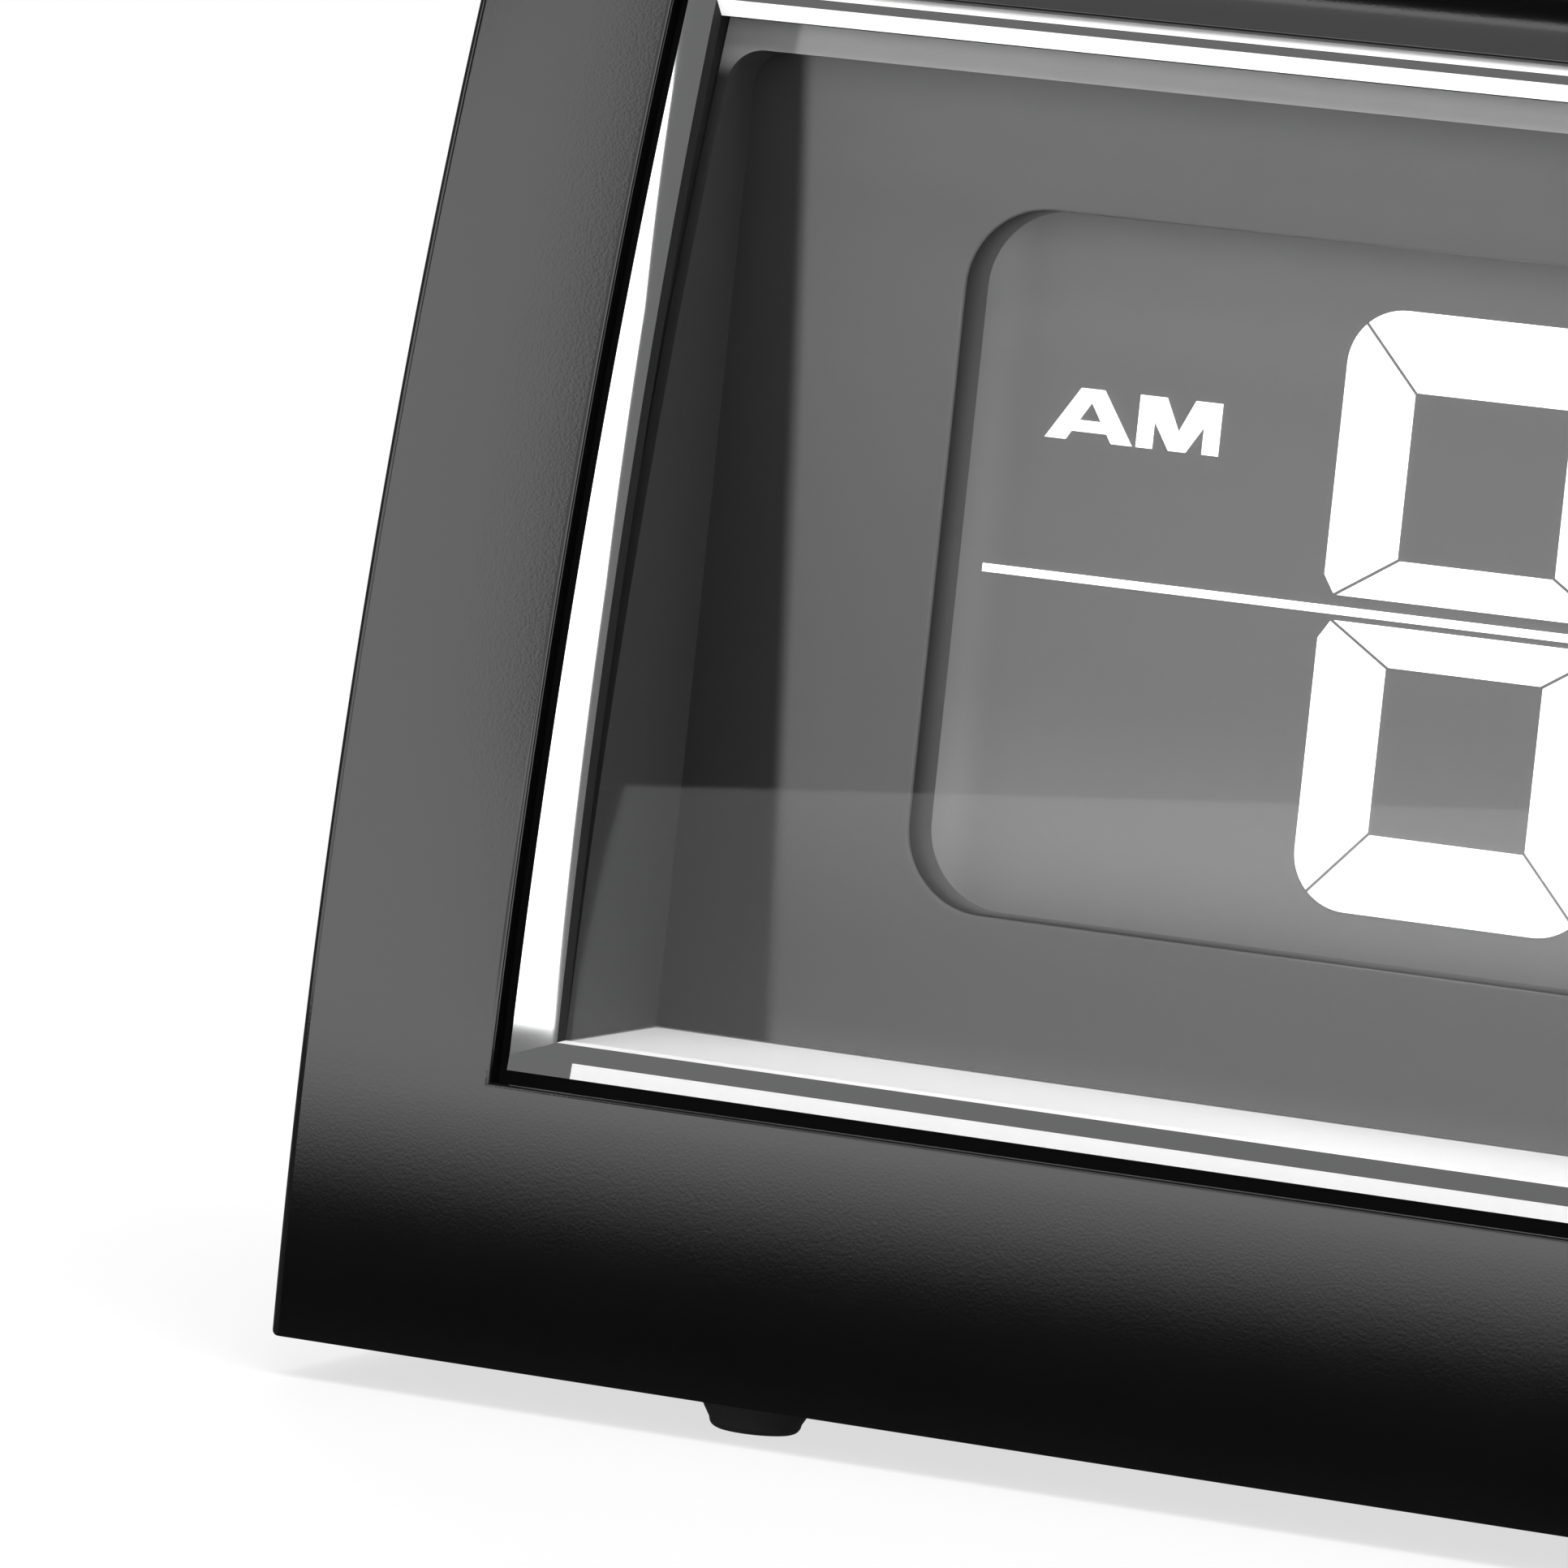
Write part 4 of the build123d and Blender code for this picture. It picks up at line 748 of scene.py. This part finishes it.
# Snooze springs: two bowed leaves of spring steel between the bracket and the bar.
leaf_mesh = nodes["snooze_springs"].data.copy()
leaf_mesh.materials.clear()
leaf_mesh.materials.append(steel_spring)
leaves = new_object("snooze_leaves", leaf_mesh)
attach(leaves, "case")
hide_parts("snooze_springs")
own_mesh(leaves)

# Rear cover and battery door: moulded in the same black with a fine spark grain. The cover closes the
# sleeve on four screws, and the door swings on two pins at its lower edge.
cover_black = surface("cover_black", (0.02, 0.02, 0.0207), 0.4, grain=700.0, spread=0.08, bump=0.22,
                      bump_scale=2600.0)
dress("rear_cover", cover_black)
dress("battery_door", cover_black)

# Cover screws: four pan heads with a cross recess, sunk in wells at the corners of the cover.
# They are plated steel, turned and cold formed.
SCREW_PLACES = [(x, 24.0, z) for x in (-74.8, 74.8) for z in (15.5, 85.0)]
HEAD_R, HEAD_H, SHANK_R, SHANK_END = 2.8, 1.8, 1.3, -15.0
HEAD_EASE_R, HEAD_EASE_H = 0.9, 0.6
ARM_HALF, ARM_REACH, RECESS, RECESS_FLOOR_SHARE = 0.42, 1.6, 1.0, 0.7


def cross_radius(turn):
    """Distance from the centre to the edge of the cross recess in one direction."""
    far, near = sorted((abs(cos(turn)), abs(sin(turn))), reverse=True)
    return ARM_REACH / far if near / far <= ARM_HALF / ARM_REACH else ARM_HALF / near


def screw_mesh():
    """Recess floor, recess edge, round head, seat and shank, turned about Y."""
    corner = atan2(ARM_HALF, ARM_REACH)
    quarter = [0.0, corner, pi / 8, pi / 4, 3 * pi / 8, pi / 2 - corner]
    turns = [q * pi / 2 + t for q in range(4) for t in quarter]
    bends = [k * pi / 12 for k in range(6, -1, -1)]
    profile = [(HEAD_R - HEAD_EASE_R * (1 - cos(b)), HEAD_H - HEAD_EASE_H * (1 - sin(b))) for b in bends]
    profile += [(HEAD_R, 0.0), (SHANK_R, 0.0), (SHANK_R, SHANK_END)]
    rings = [[(cross_radius(t) * RECESS_FLOOR_SHARE, HEAD_H - RECESS) for t in turns]]
    rings += [[(cross_radius(t), HEAD_H) for t in turns]]
    rings += [[(r, y) for t in turns] for r, y in profile]
    loops = [[(r * cos(t), y, r * sin(t)) for (r, y), t in zip(ring, turns)] for ring in rings]
    verts, faces, marks = loft(loops, closed=False)
    n = len(turns)
    faces.append(list(range(n)))
    faces.append([len(verts) - n + i for i in reversed(range(n))])
    return verts, faces


def spread(name, verts, faces, places, material):
    """One pattern set at each place by a node tree, made a plain mesh."""
    pattern_mesh = bpy.data.meshes.new(name + "_pattern")
    pattern_mesh.from_pydata([(x / 1000, y / 1000, z / 1000) for x, y, z in verts], [], faces)
    bm = bmesh.new()
    bm.from_mesh(pattern_mesh)
    bmesh.ops.recalc_face_normals(bm, faces=bm.faces)
    bm.to_mesh(pattern_mesh)
    bm.free()
    pattern_mesh.shade_smooth()
    pattern_mesh.set_sharp_from_angle(angle=radians(30))
    pattern = new_object(name + "_pattern", pattern_mesh)
    tree = bpy.data.node_groups.new(name + "_tree", "GeometryNodeTree")
    kinds = {"Places": "NodeSocketGeometry", "Pattern": "NodeSocketObject", "Size": "NodeSocketFloat",
             "Finish": "NodeSocketMaterial"}
    sockets = {}
    for label, kind in kinds.items():
        sockets[label] = tree.interface.new_socket(label, in_out="INPUT", socket_type=kind).identifier
    tree.interface.new_socket("Mesh", in_out="OUTPUT", socket_type="NodeSocketGeometry")
    start, end = tree.nodes.new("NodeGroupInput"), tree.nodes.new("NodeGroupOutput")
    info = tree.nodes.new("GeometryNodeObjectInfo")
    info.inputs["As Instance"].default_value = True
    put = tree.nodes.new("GeometryNodeInstanceOnPoints")
    real = tree.nodes.new("GeometryNodeRealizeInstances")
    paint = tree.nodes.new("GeometryNodeSetMaterial")
    tree.links.new(start.outputs["Pattern"], info.inputs["Object"])
    tree.links.new(start.outputs["Places"], put.inputs["Points"])
    tree.links.new(info.outputs["Geometry"], put.inputs["Instance"])
    tree.links.new(start.outputs["Size"], put.inputs["Scale"])
    tree.links.new(put.outputs["Instances"], real.inputs["Geometry"])
    tree.links.new(real.outputs["Geometry"], paint.inputs["Geometry"])
    tree.links.new(start.outputs["Finish"], paint.inputs["Material"])
    tree.links.new(paint.outputs["Geometry"], end.inputs["Mesh"])
    base = bpy.data.meshes.new(name)
    base.from_pydata([(x / 1000, y / 1000, z / 1000) for x, y, z in places], [], [])
    ob = new_object(name, base)
    grow = ob.modifiers.new("spread", "NODES")
    grow.node_group = tree
    grow[sockets["Pattern"]] = pattern
    grow[sockets["Size"]] = 1.0
    grow[sockets["Finish"]] = material
    flat = bpy.data.meshes.new_from_object(ob.evaluated_get(bpy.context.evaluated_depsgraph_get()))
    ob.modifiers.remove(grow)
    ob.data = flat
    bpy.data.objects.remove(pattern)
    return ob


screws = spread("cover_screw_set", *screw_mesh(), SCREW_PLACES, steel_screw)
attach(screws, "case")
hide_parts("rear_cover_screws")

# Cells: two round dry cells, head to tail, in a plain printed jacket with a pale band at the nub end.
# The ends are bare steel. Each cell has a height, the place of its nub and the way to its flat end.
CELL_R, CELL_Y, NUB_R, NUB_LONG, CELL_LONG = 7.1, 22.9, 2.7, 1.0, 49.2
NUB_EASE, CELL_EASE, BAND_END = 0.3, 0.7, 14.0
CURL_IN, CURL_OUT, CURL_DEEP, FLAT_IN, FLAT_DEEP = 1.6, 1.2, 0.25, 1.4, 0.2
CELLS = [(60.1, -9.46, -1), (44.9, -66.46, 1)]


def cell_mesh(z, nub, way, turns=40):
    """Turned shape from the nub's face to the flat end, with a band for each finish."""
    flat_end = NUB_LONG + CELL_LONG
    stations = [(0.0, NUB_R - NUB_EASE), (NUB_EASE, NUB_R), (NUB_LONG, NUB_R)]
    stations += [(NUB_LONG, CELL_R - CURL_IN), (NUB_LONG + CURL_DEEP, CELL_R - CURL_OUT)]
    stations += [(NUB_LONG, CELL_R - CELL_EASE), (NUB_LONG + CELL_EASE, CELL_R), (BAND_END, CELL_R)]
    stations += [(flat_end - CELL_EASE, CELL_R), (flat_end, CELL_R - CELL_EASE)]
    stations += [(flat_end - FLAT_DEEP, CELL_R - FLAT_IN)]
    finish = [2, 2, 2, 0, 0, 1, 1, 0, 0, 2]
    loops = [[(nub + way * s, CELL_Y + r * cos(k * 2 * pi / turns), z + r * sin(k * 2 * pi / turns))
              for k in range(turns)] for s, r in stations]
    verts, faces, marks = loft(loops, closed=False)
    bands = [finish[k] for k, i in marks]
    faces.append(list(range(turns)))
    faces.append([len(verts) - turns + i for i in range(turns)])
    return verts, faces, bands + [2, 2]


cell_jacket = surface("cell_jacket", (0.0285, 0.0355, 0.05), 0.3, grain=200.0, spread=0.1)
cell_band = surface("cell_band", (0.58, 0.54, 0.46), 0.32, metallic=0.6, grain=300.0, spread=0.08)
verts, faces, bands = [], [], []
for z, nub, way in CELLS:
    more_verts, more_faces, more_bands = cell_mesh(z, nub, way)
    faces += [[len(verts) + i for i in f] for f in more_faces]
    verts += more_verts
    bands += more_bands
piece("cell_pair", verts, faces, [cell_jacket, cell_band, steel_screw], bands=bands, angle=35,
      slot="cell_jacket", replaced=["battery_cells"])

# Keys: the snooze bar on top, the round set keys behind and the alarm slider are moulded in a matt dark
# grey with eased edges. Each slides in its own opening.
key_dark = surface("key_dark", (0.0455, 0.0455, 0.0485), 0.45, grain=900.0, spread=0.08, bump=0.12)
for node in ("snooze_bar", "time_key", "alarm_key", "hour_key", "minute_key", "alarm_slider"):
    dress(node, key_dark)

# Slider ridges: three fine ribs across the knob for the fingertip, moulded in one with it, so they ride
# on the slider. Each is narrower at its crest.
RIDGE_X, RIDGE_Y, RIDGE_Z, RIDGE_PITCH = 22.51, 32.68, 46.5, 1.4
RIDGE_HALF, RIDGE_LONG_HALF, RIDGE_HIGH = 0.3, 1.5, 0.24
RIDGE_PLACES = [(RIDGE_X + RIDGE_PITCH * i, RIDGE_Y, RIDGE_Z) for i in range(3)]


def ridge_mesh():
    crest = RIDGE_HALF * 0.5
    outline = [(-RIDGE_HALF, 0.0), (RIDGE_HALF, 0.0), (crest, RIDGE_HIGH), (-crest, RIDGE_HIGH)]
    verts = [(x, y, z) for z in (-RIDGE_LONG_HALF, RIDGE_LONG_HALF) for x, y in outline]
    faces = [(0, 1, 2, 3), (7, 6, 5, 4)] + [(i, (i + 1) % 4, 4 + (i + 1) % 4, 4 + i) for i in range(4)]
    return verts, faces


ridges = spread("slider_ridges", *ridge_mesh(), RIDGE_PLACES, key_dark)
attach(ridges, "alarm_slider")

# Feet: four tapered pads of black rubber under the corners of the underside. They have a round edge at
# the ground and are pressed into the case and the cover.
FOOT_HIGH, FOOT_WIDE, FOOT_NARROW, FOOT_ROUND = 2.5, 4.0, 2.9, 0.6
FOOT_PLACES = [(x, y, 0.0) for x in (-53.4, 53.4) for y in (-24.3, 25.7)]


def foot_mesh(turns=40):
    bends = [k * pi / 12 for k in range(7)]
    profile = [(FOOT_NARROW - FOOT_ROUND + FOOT_ROUND * sin(b), FOOT_ROUND * (1 - cos(b))) for b in bends]
    profile += [(FOOT_WIDE, FOOT_HIGH)]
    ways = [k * 2 * pi / turns for k in range(turns)]
    loops = [[(r * cos(way), r * sin(way), z) for way in ways] for r, z in profile]
    verts, faces, marks = loft(loops, closed=False)
    faces.append(list(range(turns)))
    faces.append([len(verts) - turns + i for i in range(turns)])
    return verts, faces


feet = spread("foot_set", *foot_mesh(), FOOT_PLACES, rubber_black)
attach(feet, "case")
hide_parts("rubber_feet")

# Floor: a plain pale matt sheet that keeps a faint shadow under the clock. Farther out it turns plain
# white to the eye, so that it runs into the white backdrop without an edge.
SHADE_NEAR, SHADE_FAR, SHADE_SHARE = 0.14, 0.24, 0.3
FLOOR_HALF, FLOOR_TONE = 3, 0.75


def seen_white(name, bounce, vary=0.02):
    """Nearly white for the camera, a plain pale matt for everything else."""
    m = bpy.data.materials.new(name)
    m.use_nodes = True
    tree = m.node_tree
    shader = tree.nodes["Principled BSDF"]
    shader.inputs["Roughness"].default_value = 0.9
    where = tree.nodes.new("ShaderNodeTexCoord")
    noise = tree.nodes.new("ShaderNodeTexNoise")
    noise.inputs["Scale"].default_value = 4.0
    tree.links.new(where.outputs["Object"], noise.inputs["Vector"])
    tone = tree.nodes.new("ShaderNodeMapRange")
    tone.inputs["To Min"].default_value = bounce - vary
    tone.inputs["To Max"].default_value = bounce + vary
    tree.links.new(noise.outputs["Fac"], tone.inputs["Value"])
    tree.links.new(tone.outputs["Result"], shader.inputs["Base Color"])
    glow = tree.nodes.new("ShaderNodeEmission")
    glow.inputs["Strength"].default_value = 1.0
    reach = tree.nodes.new("ShaderNodeVectorMath")
    reach.operation = "LENGTH"
    tree.links.new(where.outputs["Object"], reach.inputs[0])
    sums, ramp = maths(tree)
    whiten = ramp(reach.outputs["Value"], SHADE_NEAR, SHADE_FAR, 1.0 - SHADE_SHARE)
    path = tree.nodes.new("ShaderNodeLightPath")
    mix = tree.nodes.new("ShaderNodeMixShader")
    tree.links.new(sums("MULTIPLY", path.outputs["Is Camera Ray"], whiten), mix.inputs["Fac"])
    tree.links.new(shader.outputs["BSDF"], mix.inputs[1])
    tree.links.new(glow.outputs["Emission"], mix.inputs[2])
    tree.links.new(mix.outputs["Shader"], tree.nodes["Material Output"].inputs["Surface"])
    return m


floor_mesh = bpy.data.meshes.new("floor")
far = FLOOR_HALF
floor_mesh.from_pydata([(-far, -far, 0), (far, -far, 0), (far, far, 0), (-far, far, 0)], [], [(0, 1, 2, 3)])
floor_mesh.materials.append(seen_white("floor_white", FLOOR_TONE))
floor = new_object("floor", floor_mesh)
floor.visible_glossy = False

# Backdrop: plain white to the eye and through the lens. Gloss and shade see a dim even room instead,
# because the gloss in the photograph is dark.
ROOM_GLOSS, ROOM_FILL = 0.145, 0.245
world = bpy.data.worlds.new("studio")
bpy.context.scene.world = world
world.use_nodes = True
room = world.node_tree
path = room.nodes.new("ShaderNodeLightPath")
room_sums = maths(room)[0]
seen = room_sums("MAXIMUM", path.outputs["Is Camera Ray"], path.outputs["Is Transmission Ray"])
unseen = room_sums("MULTIPLY_ADD", path.outputs["Is Glossy Ray"], ROOM_GLOSS - ROOM_FILL, ROOM_FILL)
back = room.nodes["Background"]
back.inputs["Color"].default_value = (1, 1, 1, 1)
room.links.new(room_sums("MAXIMUM", unseen, seen), back.inputs["Strength"])

# Studio cards, seen only in reflections and clear from behind. The large softbox ahead has a dark gap and
# a band across its foot, and is calmer where the lens mirrors it. A bright card on the left ends on a slant,
# and a soft one stands behind the clock.
CARD_Y, BACK_Y = -0.4, 0.6
BOX_LEFT, BOX_RIGHT, BOX_LOW, BOX_HIGH = -0.285, 0.6, -0.074, 0.9
BOX, BOX_CALM, BOX_BAND = 2.83, 1.19, 3.2
BOX_FADE_LOW, BOX_FADE_HIGH, BOX_TOP, BOX_TOP_SOFT = -0.035, 0.012, 0.492, 0.006
GAP_LEFT, GAP_RIGHT, GAP_BEND, GAP_LEFT_BEND_SHARE = -0.2085, -0.1845, -0.335, 0.75
GAP_LEAN, GAP_SOFT, GAP_FULL, GAP_END = 0.02, 0.0004, 0.03, 0.02
BAND_LEFT, BAND_TOP, BAND_RISE, BAND_SOFT, BAND_SIDE_SOFT = -0.207, 0.0976, 0.285, 0.0008, 0.0004
BAND_FADE_NEAR, BAND_FADE_FAR, BAND_DIM_LOW, BAND_DIM_HIGH = -0.09, -0.07, 0.05, 0.114
CALM_LOW, CALM_LOW_FULL, CALM_HIGH_FULL, CALM_HIGH = 0.03, 0.04, 0.43, 0.45
CALM_RIGHT_FULL, CALM_RIGHT = 0.1, 0.25
SLANT_FAR, SLANT_HIGH, SLANT_GLOW, SLANT_EDGE, SLANT_LEAN, SLANT_SOFT = -1.4, 0.7, 2.0, -0.31, 0.25, 0.003
SLANT_BENDS = [(0.16, 0.35), (0.265, 0.85)]
SLANT_FOOT_X, SLANT_FOOT_Z, SLANT_FOOT_RISE, SLANT_FOOT_SOFT = -0.296, 0.022, 0.0388, 0.001
BACK_LEFT, BACK_RIGHT, BACK_HIGH, BACK_GLOW = -0.6, 0.8, 0.8, 1.6
BACK_FADE_X, BACK_FADE_Z = (-0.5, 0.1, 0.1, 0.7), (0.0, 0.25, 0.35, 0.75)


def upright(first_x, second_x, y, low, high):
    """Corners of an upright card, in an order that lets it face the clock."""
    return [(first_x, y, low), (second_x, y, low), (second_x, y, high), (first_x, y, high)]


def card(name, corners, emit, faces=((0, 1, 2, 3),)):
    """Sheet that glows on one side by a tone over X and Z, in metres, and shows in reflections alone."""
    mesh = bpy.data.meshes.new(name)
    mesh.from_pydata(corners, [], faces)
    ob = new_object(name, mesh)
    m = bpy.data.materials.new(name)
    m.use_nodes = True
    tree = m.node_tree
    tree.nodes.remove(tree.nodes["Principled BSDF"])
    glow = tree.nodes.new("ShaderNodeEmission")
    clear = tree.nodes.new("ShaderNodeBsdfTransparent")
    side = tree.nodes.new("ShaderNodeNewGeometry")
    one_sided = tree.nodes.new("ShaderNodeMixShader")
    tree.links.new(side.outputs["Backfacing"], one_sided.inputs["Fac"])
    tree.links.new(glow.outputs["Emission"], one_sided.inputs[1])
    tree.links.new(clear.outputs["BSDF"], one_sided.inputs[2])
    tree.links.new(one_sided.outputs["Shader"], tree.nodes["Material Output"].inputs["Surface"])
    where = tree.nodes.new("ShaderNodeTexCoord")
    split = tree.nodes.new("ShaderNodeSeparateXYZ")
    tree.links.new(where.outputs["Object"], split.inputs["Vector"])
    sums, step = maths(tree)
    tree.links.new(emit(split.outputs["X"], split.outputs["Z"], sums, step), glow.inputs["Strength"])
    mesh.materials.append(m)
    ob.visible_camera = False
    ob.visible_diffuse = False
    ob.visible_shadow = False
    ob.visible_transmission = False
    ob.visible_volume_scatter = False
    return ob


def softbox(x, z, sums, step):
    """The gap lies between two bent edges, the band under a rising line, the calm part right of the gap."""
    bend = sums("MULTIPLY", sums("MULTIPLY", z, z), GAP_BEND)
    lean = sums("MULTIPLY", z, GAP_LEAN)
    gap_right = sums("ADD", sums("SUBTRACT", bend, lean), GAP_RIGHT)
    left_bend = sums("MULTIPLY", bend, GAP_LEFT_BEND_SHARE)
    gap_left = sums("ADD", sums("SUBTRACT", left_bend, lean), GAP_LEFT)
    right_part = step(sums("SUBTRACT", x, gap_right), -GAP_SOFT, GAP_SOFT)
    left_part = step(sums("SUBTRACT", gap_left, x), -GAP_SOFT, GAP_SOFT)
    foot = step(sums("SUBTRACT", 0.0, z), -GAP_FULL, -GAP_END)
    whole = sums("MAXIMUM", sums("MAXIMUM", right_part, left_part), foot)
    band_top = sums("ADD", sums("MULTIPLY", sums("SUBTRACT", x, BAND_LEFT), BAND_RISE), BAND_TOP)
    band = step(sums("SUBTRACT", band_top, z), -BAND_SOFT, BAND_SOFT)
    band_start = step(x, BAND_LEFT - BAND_SIDE_SOFT, BAND_LEFT + BAND_SIDE_SOFT)
    band_stop = step(x, BAND_FADE_NEAR, BAND_FADE_FAR)
    band = sums("MULTIPLY", band, sums("SUBTRACT", band_start, band_stop))
    fall = sums("MULTIPLY", right_part, sums("SUBTRACT", 1.0, step(z, BAND_DIM_LOW, BAND_DIM_HIGH)))
    band = sums("MULTIPLY", band, sums("SUBTRACT", 1.0, fall))
    band = sums("MULTIPLY", band, sums("SUBTRACT", 1.0, foot))
    calm = sums("SUBTRACT", 1.0, step(z, CALM_HIGH_FULL, CALM_HIGH))
    calm = sums("MULTIPLY", step(z, CALM_LOW, CALM_LOW_FULL), calm)
    calm = sums("MULTIPLY", calm, right_part)
    calm = sums("MULTIPLY", calm, sums("SUBTRACT", 1.0, step(x, CALM_RIGHT_FULL, CALM_RIGHT)))
    level = sums("SUBTRACT", BOX, sums("MULTIPLY", calm, BOX - BOX_CALM))
    total = sums("ADD", sums("MULTIPLY", whole, level), sums("MULTIPLY", band, BOX_BAND))
    total = sums("MULTIPLY", total, step(z, BOX_FADE_LOW, BOX_FADE_HIGH))
    return sums("MULTIPLY", total, step(sums("SUBTRACT", BOX_TOP, z), 0.0, BOX_TOP_SOFT))


def slant_card(x, z, sums, step):
    """Its right edge leans out more above each bend, and its foot rises to the right."""
    edge = sums("SUBTRACT", SLANT_EDGE, sums("MULTIPLY", z, SLANT_LEAN))
    for start, lean in SLANT_BENDS:
        over = sums("MAXIMUM", sums("SUBTRACT", z, start), 0.0)
        edge = sums("SUBTRACT", edge, sums("MULTIPLY", over, lean))
    lit = step(sums("SUBTRACT", edge, x), -SLANT_SOFT, SLANT_SOFT)
    rise = sums("MULTIPLY", sums("SUBTRACT", x, SLANT_FOOT_X), SLANT_FOOT_RISE)
    foot = sums("ADD", rise, SLANT_FOOT_Z)
    lit = sums("MULTIPLY", lit, step(sums("SUBTRACT", z, foot), -SLANT_FOOT_SOFT, SLANT_FOOT_SOFT))
    return sums("ADD", sums("MULTIPLY", lit, SLANT_GLOW), ROOM_GLOSS)


def soft_card(x, z, sums, step):
    """It fades to the dim room on all sides."""
    glow = BACK_GLOW
    for value, (start, full, end_full, end) in ((x, BACK_FADE_X), (z, BACK_FADE_Z)):
        before_end = sums("SUBTRACT", 1.0, step(value, end_full, end))
        inside = sums("MULTIPLY", step(value, start, full), before_end)
        glow = sums("MULTIPLY", glow, inside)
    return sums("ADD", glow, ROOM_GLOSS)


card("softbox_front", upright(BOX_RIGHT, BOX_LEFT, CARD_Y, BOX_LOW, BOX_HIGH), softbox)
card("slant_left", upright(BOX_LEFT, SLANT_FAR, CARD_Y, BOX_LOW, SLANT_HIGH), slant_card)
card("softbox_back", upright(BACK_LEFT, BACK_RIGHT, BACK_Y, 0.0, BACK_HIGH), soft_card)

# Dark surround: a sheet that stands round the front of the clock and hides the softbox from its top and
# ends, so they stay dark when the clock is seen from behind. It follows the front arc, grows lighter away
# from it, and is seen only in reflections.
FLAG_GAP, FLAG_FAR, FLAG_HIGH, FLAG_Y, FLAG_TURN = 0.2, 600.0, 400.0, -19.4, 89.0
FLAG_LIFT, FLAG_FADE, FLAG_PITCH = 0.45, 0.04, 10.0


def flag_tone(x, z, sums, step):
    """As dim as the room at the case's edge, and lighter away from it."""
    beside = step(sums("ABSOLUTE", x), CASE_HALF / 1000, CASE_HALF / 1000 + FLAG_FADE)
    above = step(z, CASE_TOP / 1000, CASE_TOP / 1000 + FLAG_FADE)
    return sums("ADD", sums("MULTIPLY", sums("MAXIMUM", beside, above), FLAG_LIFT), ROOM_GLOSS)


flag_rows = [(front_y(FLAG_PITCH * i) - FLAG_GAP, FLAG_PITCH * i) for i in range(9)]
flag_rows += [(FLAG_Y, FLAG_TURN), (FLAG_Y, CASE_TOP + FLAG_GAP)]
flag_verts = []
flag_faces = []
for right_x, left_x in ((FLAG_FAR, CASE_HALF + FLAG_GAP), (-CASE_HALF - FLAG_GAP, -FLAG_FAR)):
    first = len(flag_verts)
    for y, z in flag_rows:
        flag_verts += [(right_x, y, z), (left_x, y, z)]
    for i in range(len(flag_rows) - 1):
        low = first + 2 * i
        flag_faces.append((low, low + 1, low + 3, low + 2))
first = len(flag_verts)
for z in (CASE_TOP + FLAG_GAP, FLAG_HIGH):
    flag_verts += [(FLAG_FAR, FLAG_Y, z), (-FLAG_FAR, FLAG_Y, z)]
flag_faces.append((first, first + 1, first + 3, first + 2))
card("dark_surround", [(x / 1000, y / 1000, z / 1000) for x, y, z in flag_verts], flag_tone, flag_faces)

# Lamps: three broad soft lamps, above, ahead and behind, at a plain level. They are kept out of the
# reflections, which the cards give.


def lamp(name, place, aim, size, power):
    light = bpy.data.lights.new(name, "AREA")
    light.shape = "RECTANGLE"
    light.size, light.size_y = size
    light.energy = power
    ob = new_object(name, light)
    ob.location = place
    ob.rotation_euler = (Vector(aim) - Vector(place)).to_track_quat("-Z", "Y").to_euler()
    ob.visible_glossy = False
    ob.visible_camera = False
    return ob


lamp("lamp_top", (0.1, -0.35, 0.9), (0, 0, 0.04), (0.9, 0.7), 11.2)
lamp("lamp_front", (0.5, -0.9, 0.35), (0, 0, 0.05), (0.7, 0.6), 3.5)
lamp("lamp_back", (-0.3, 0.9, 0.5), (0, 0, 0.05), (0.8, 0.6), 11.2)

# Camera: where the photograph was taken from, with a long lens, turned a little about its own axis.
# Its place and its three directions were fitted to straight lines of the front.
CAMERA_PLACE, FOCAL, SENSOR = (0.146, -0.579, 0.0842), 219.08, 36.0
camera_data = bpy.data.cameras.new("camera")
camera_data.sensor_width = SENSOR
camera_data.lens = FOCAL
camera_data.clip_start = 0.01
camera_data.clip_end = 20.0
camera = new_object("camera", camera_data)
right = Vector((0.93195, 0.34743, 0.10372))
up = Vector((-0.12301, 0.03385, 0.99184))
away = -Vector((-0.34108, 0.93710, -0.07428))
turn = Matrix((right, up, away)).transposed().to_4x4()
camera.matrix_world = Matrix.Translation(CAMERA_PLACE) @ turn
bpy.context.scene.camera = camera
bpy.context.scene.view_settings.view_transform = "Standard"
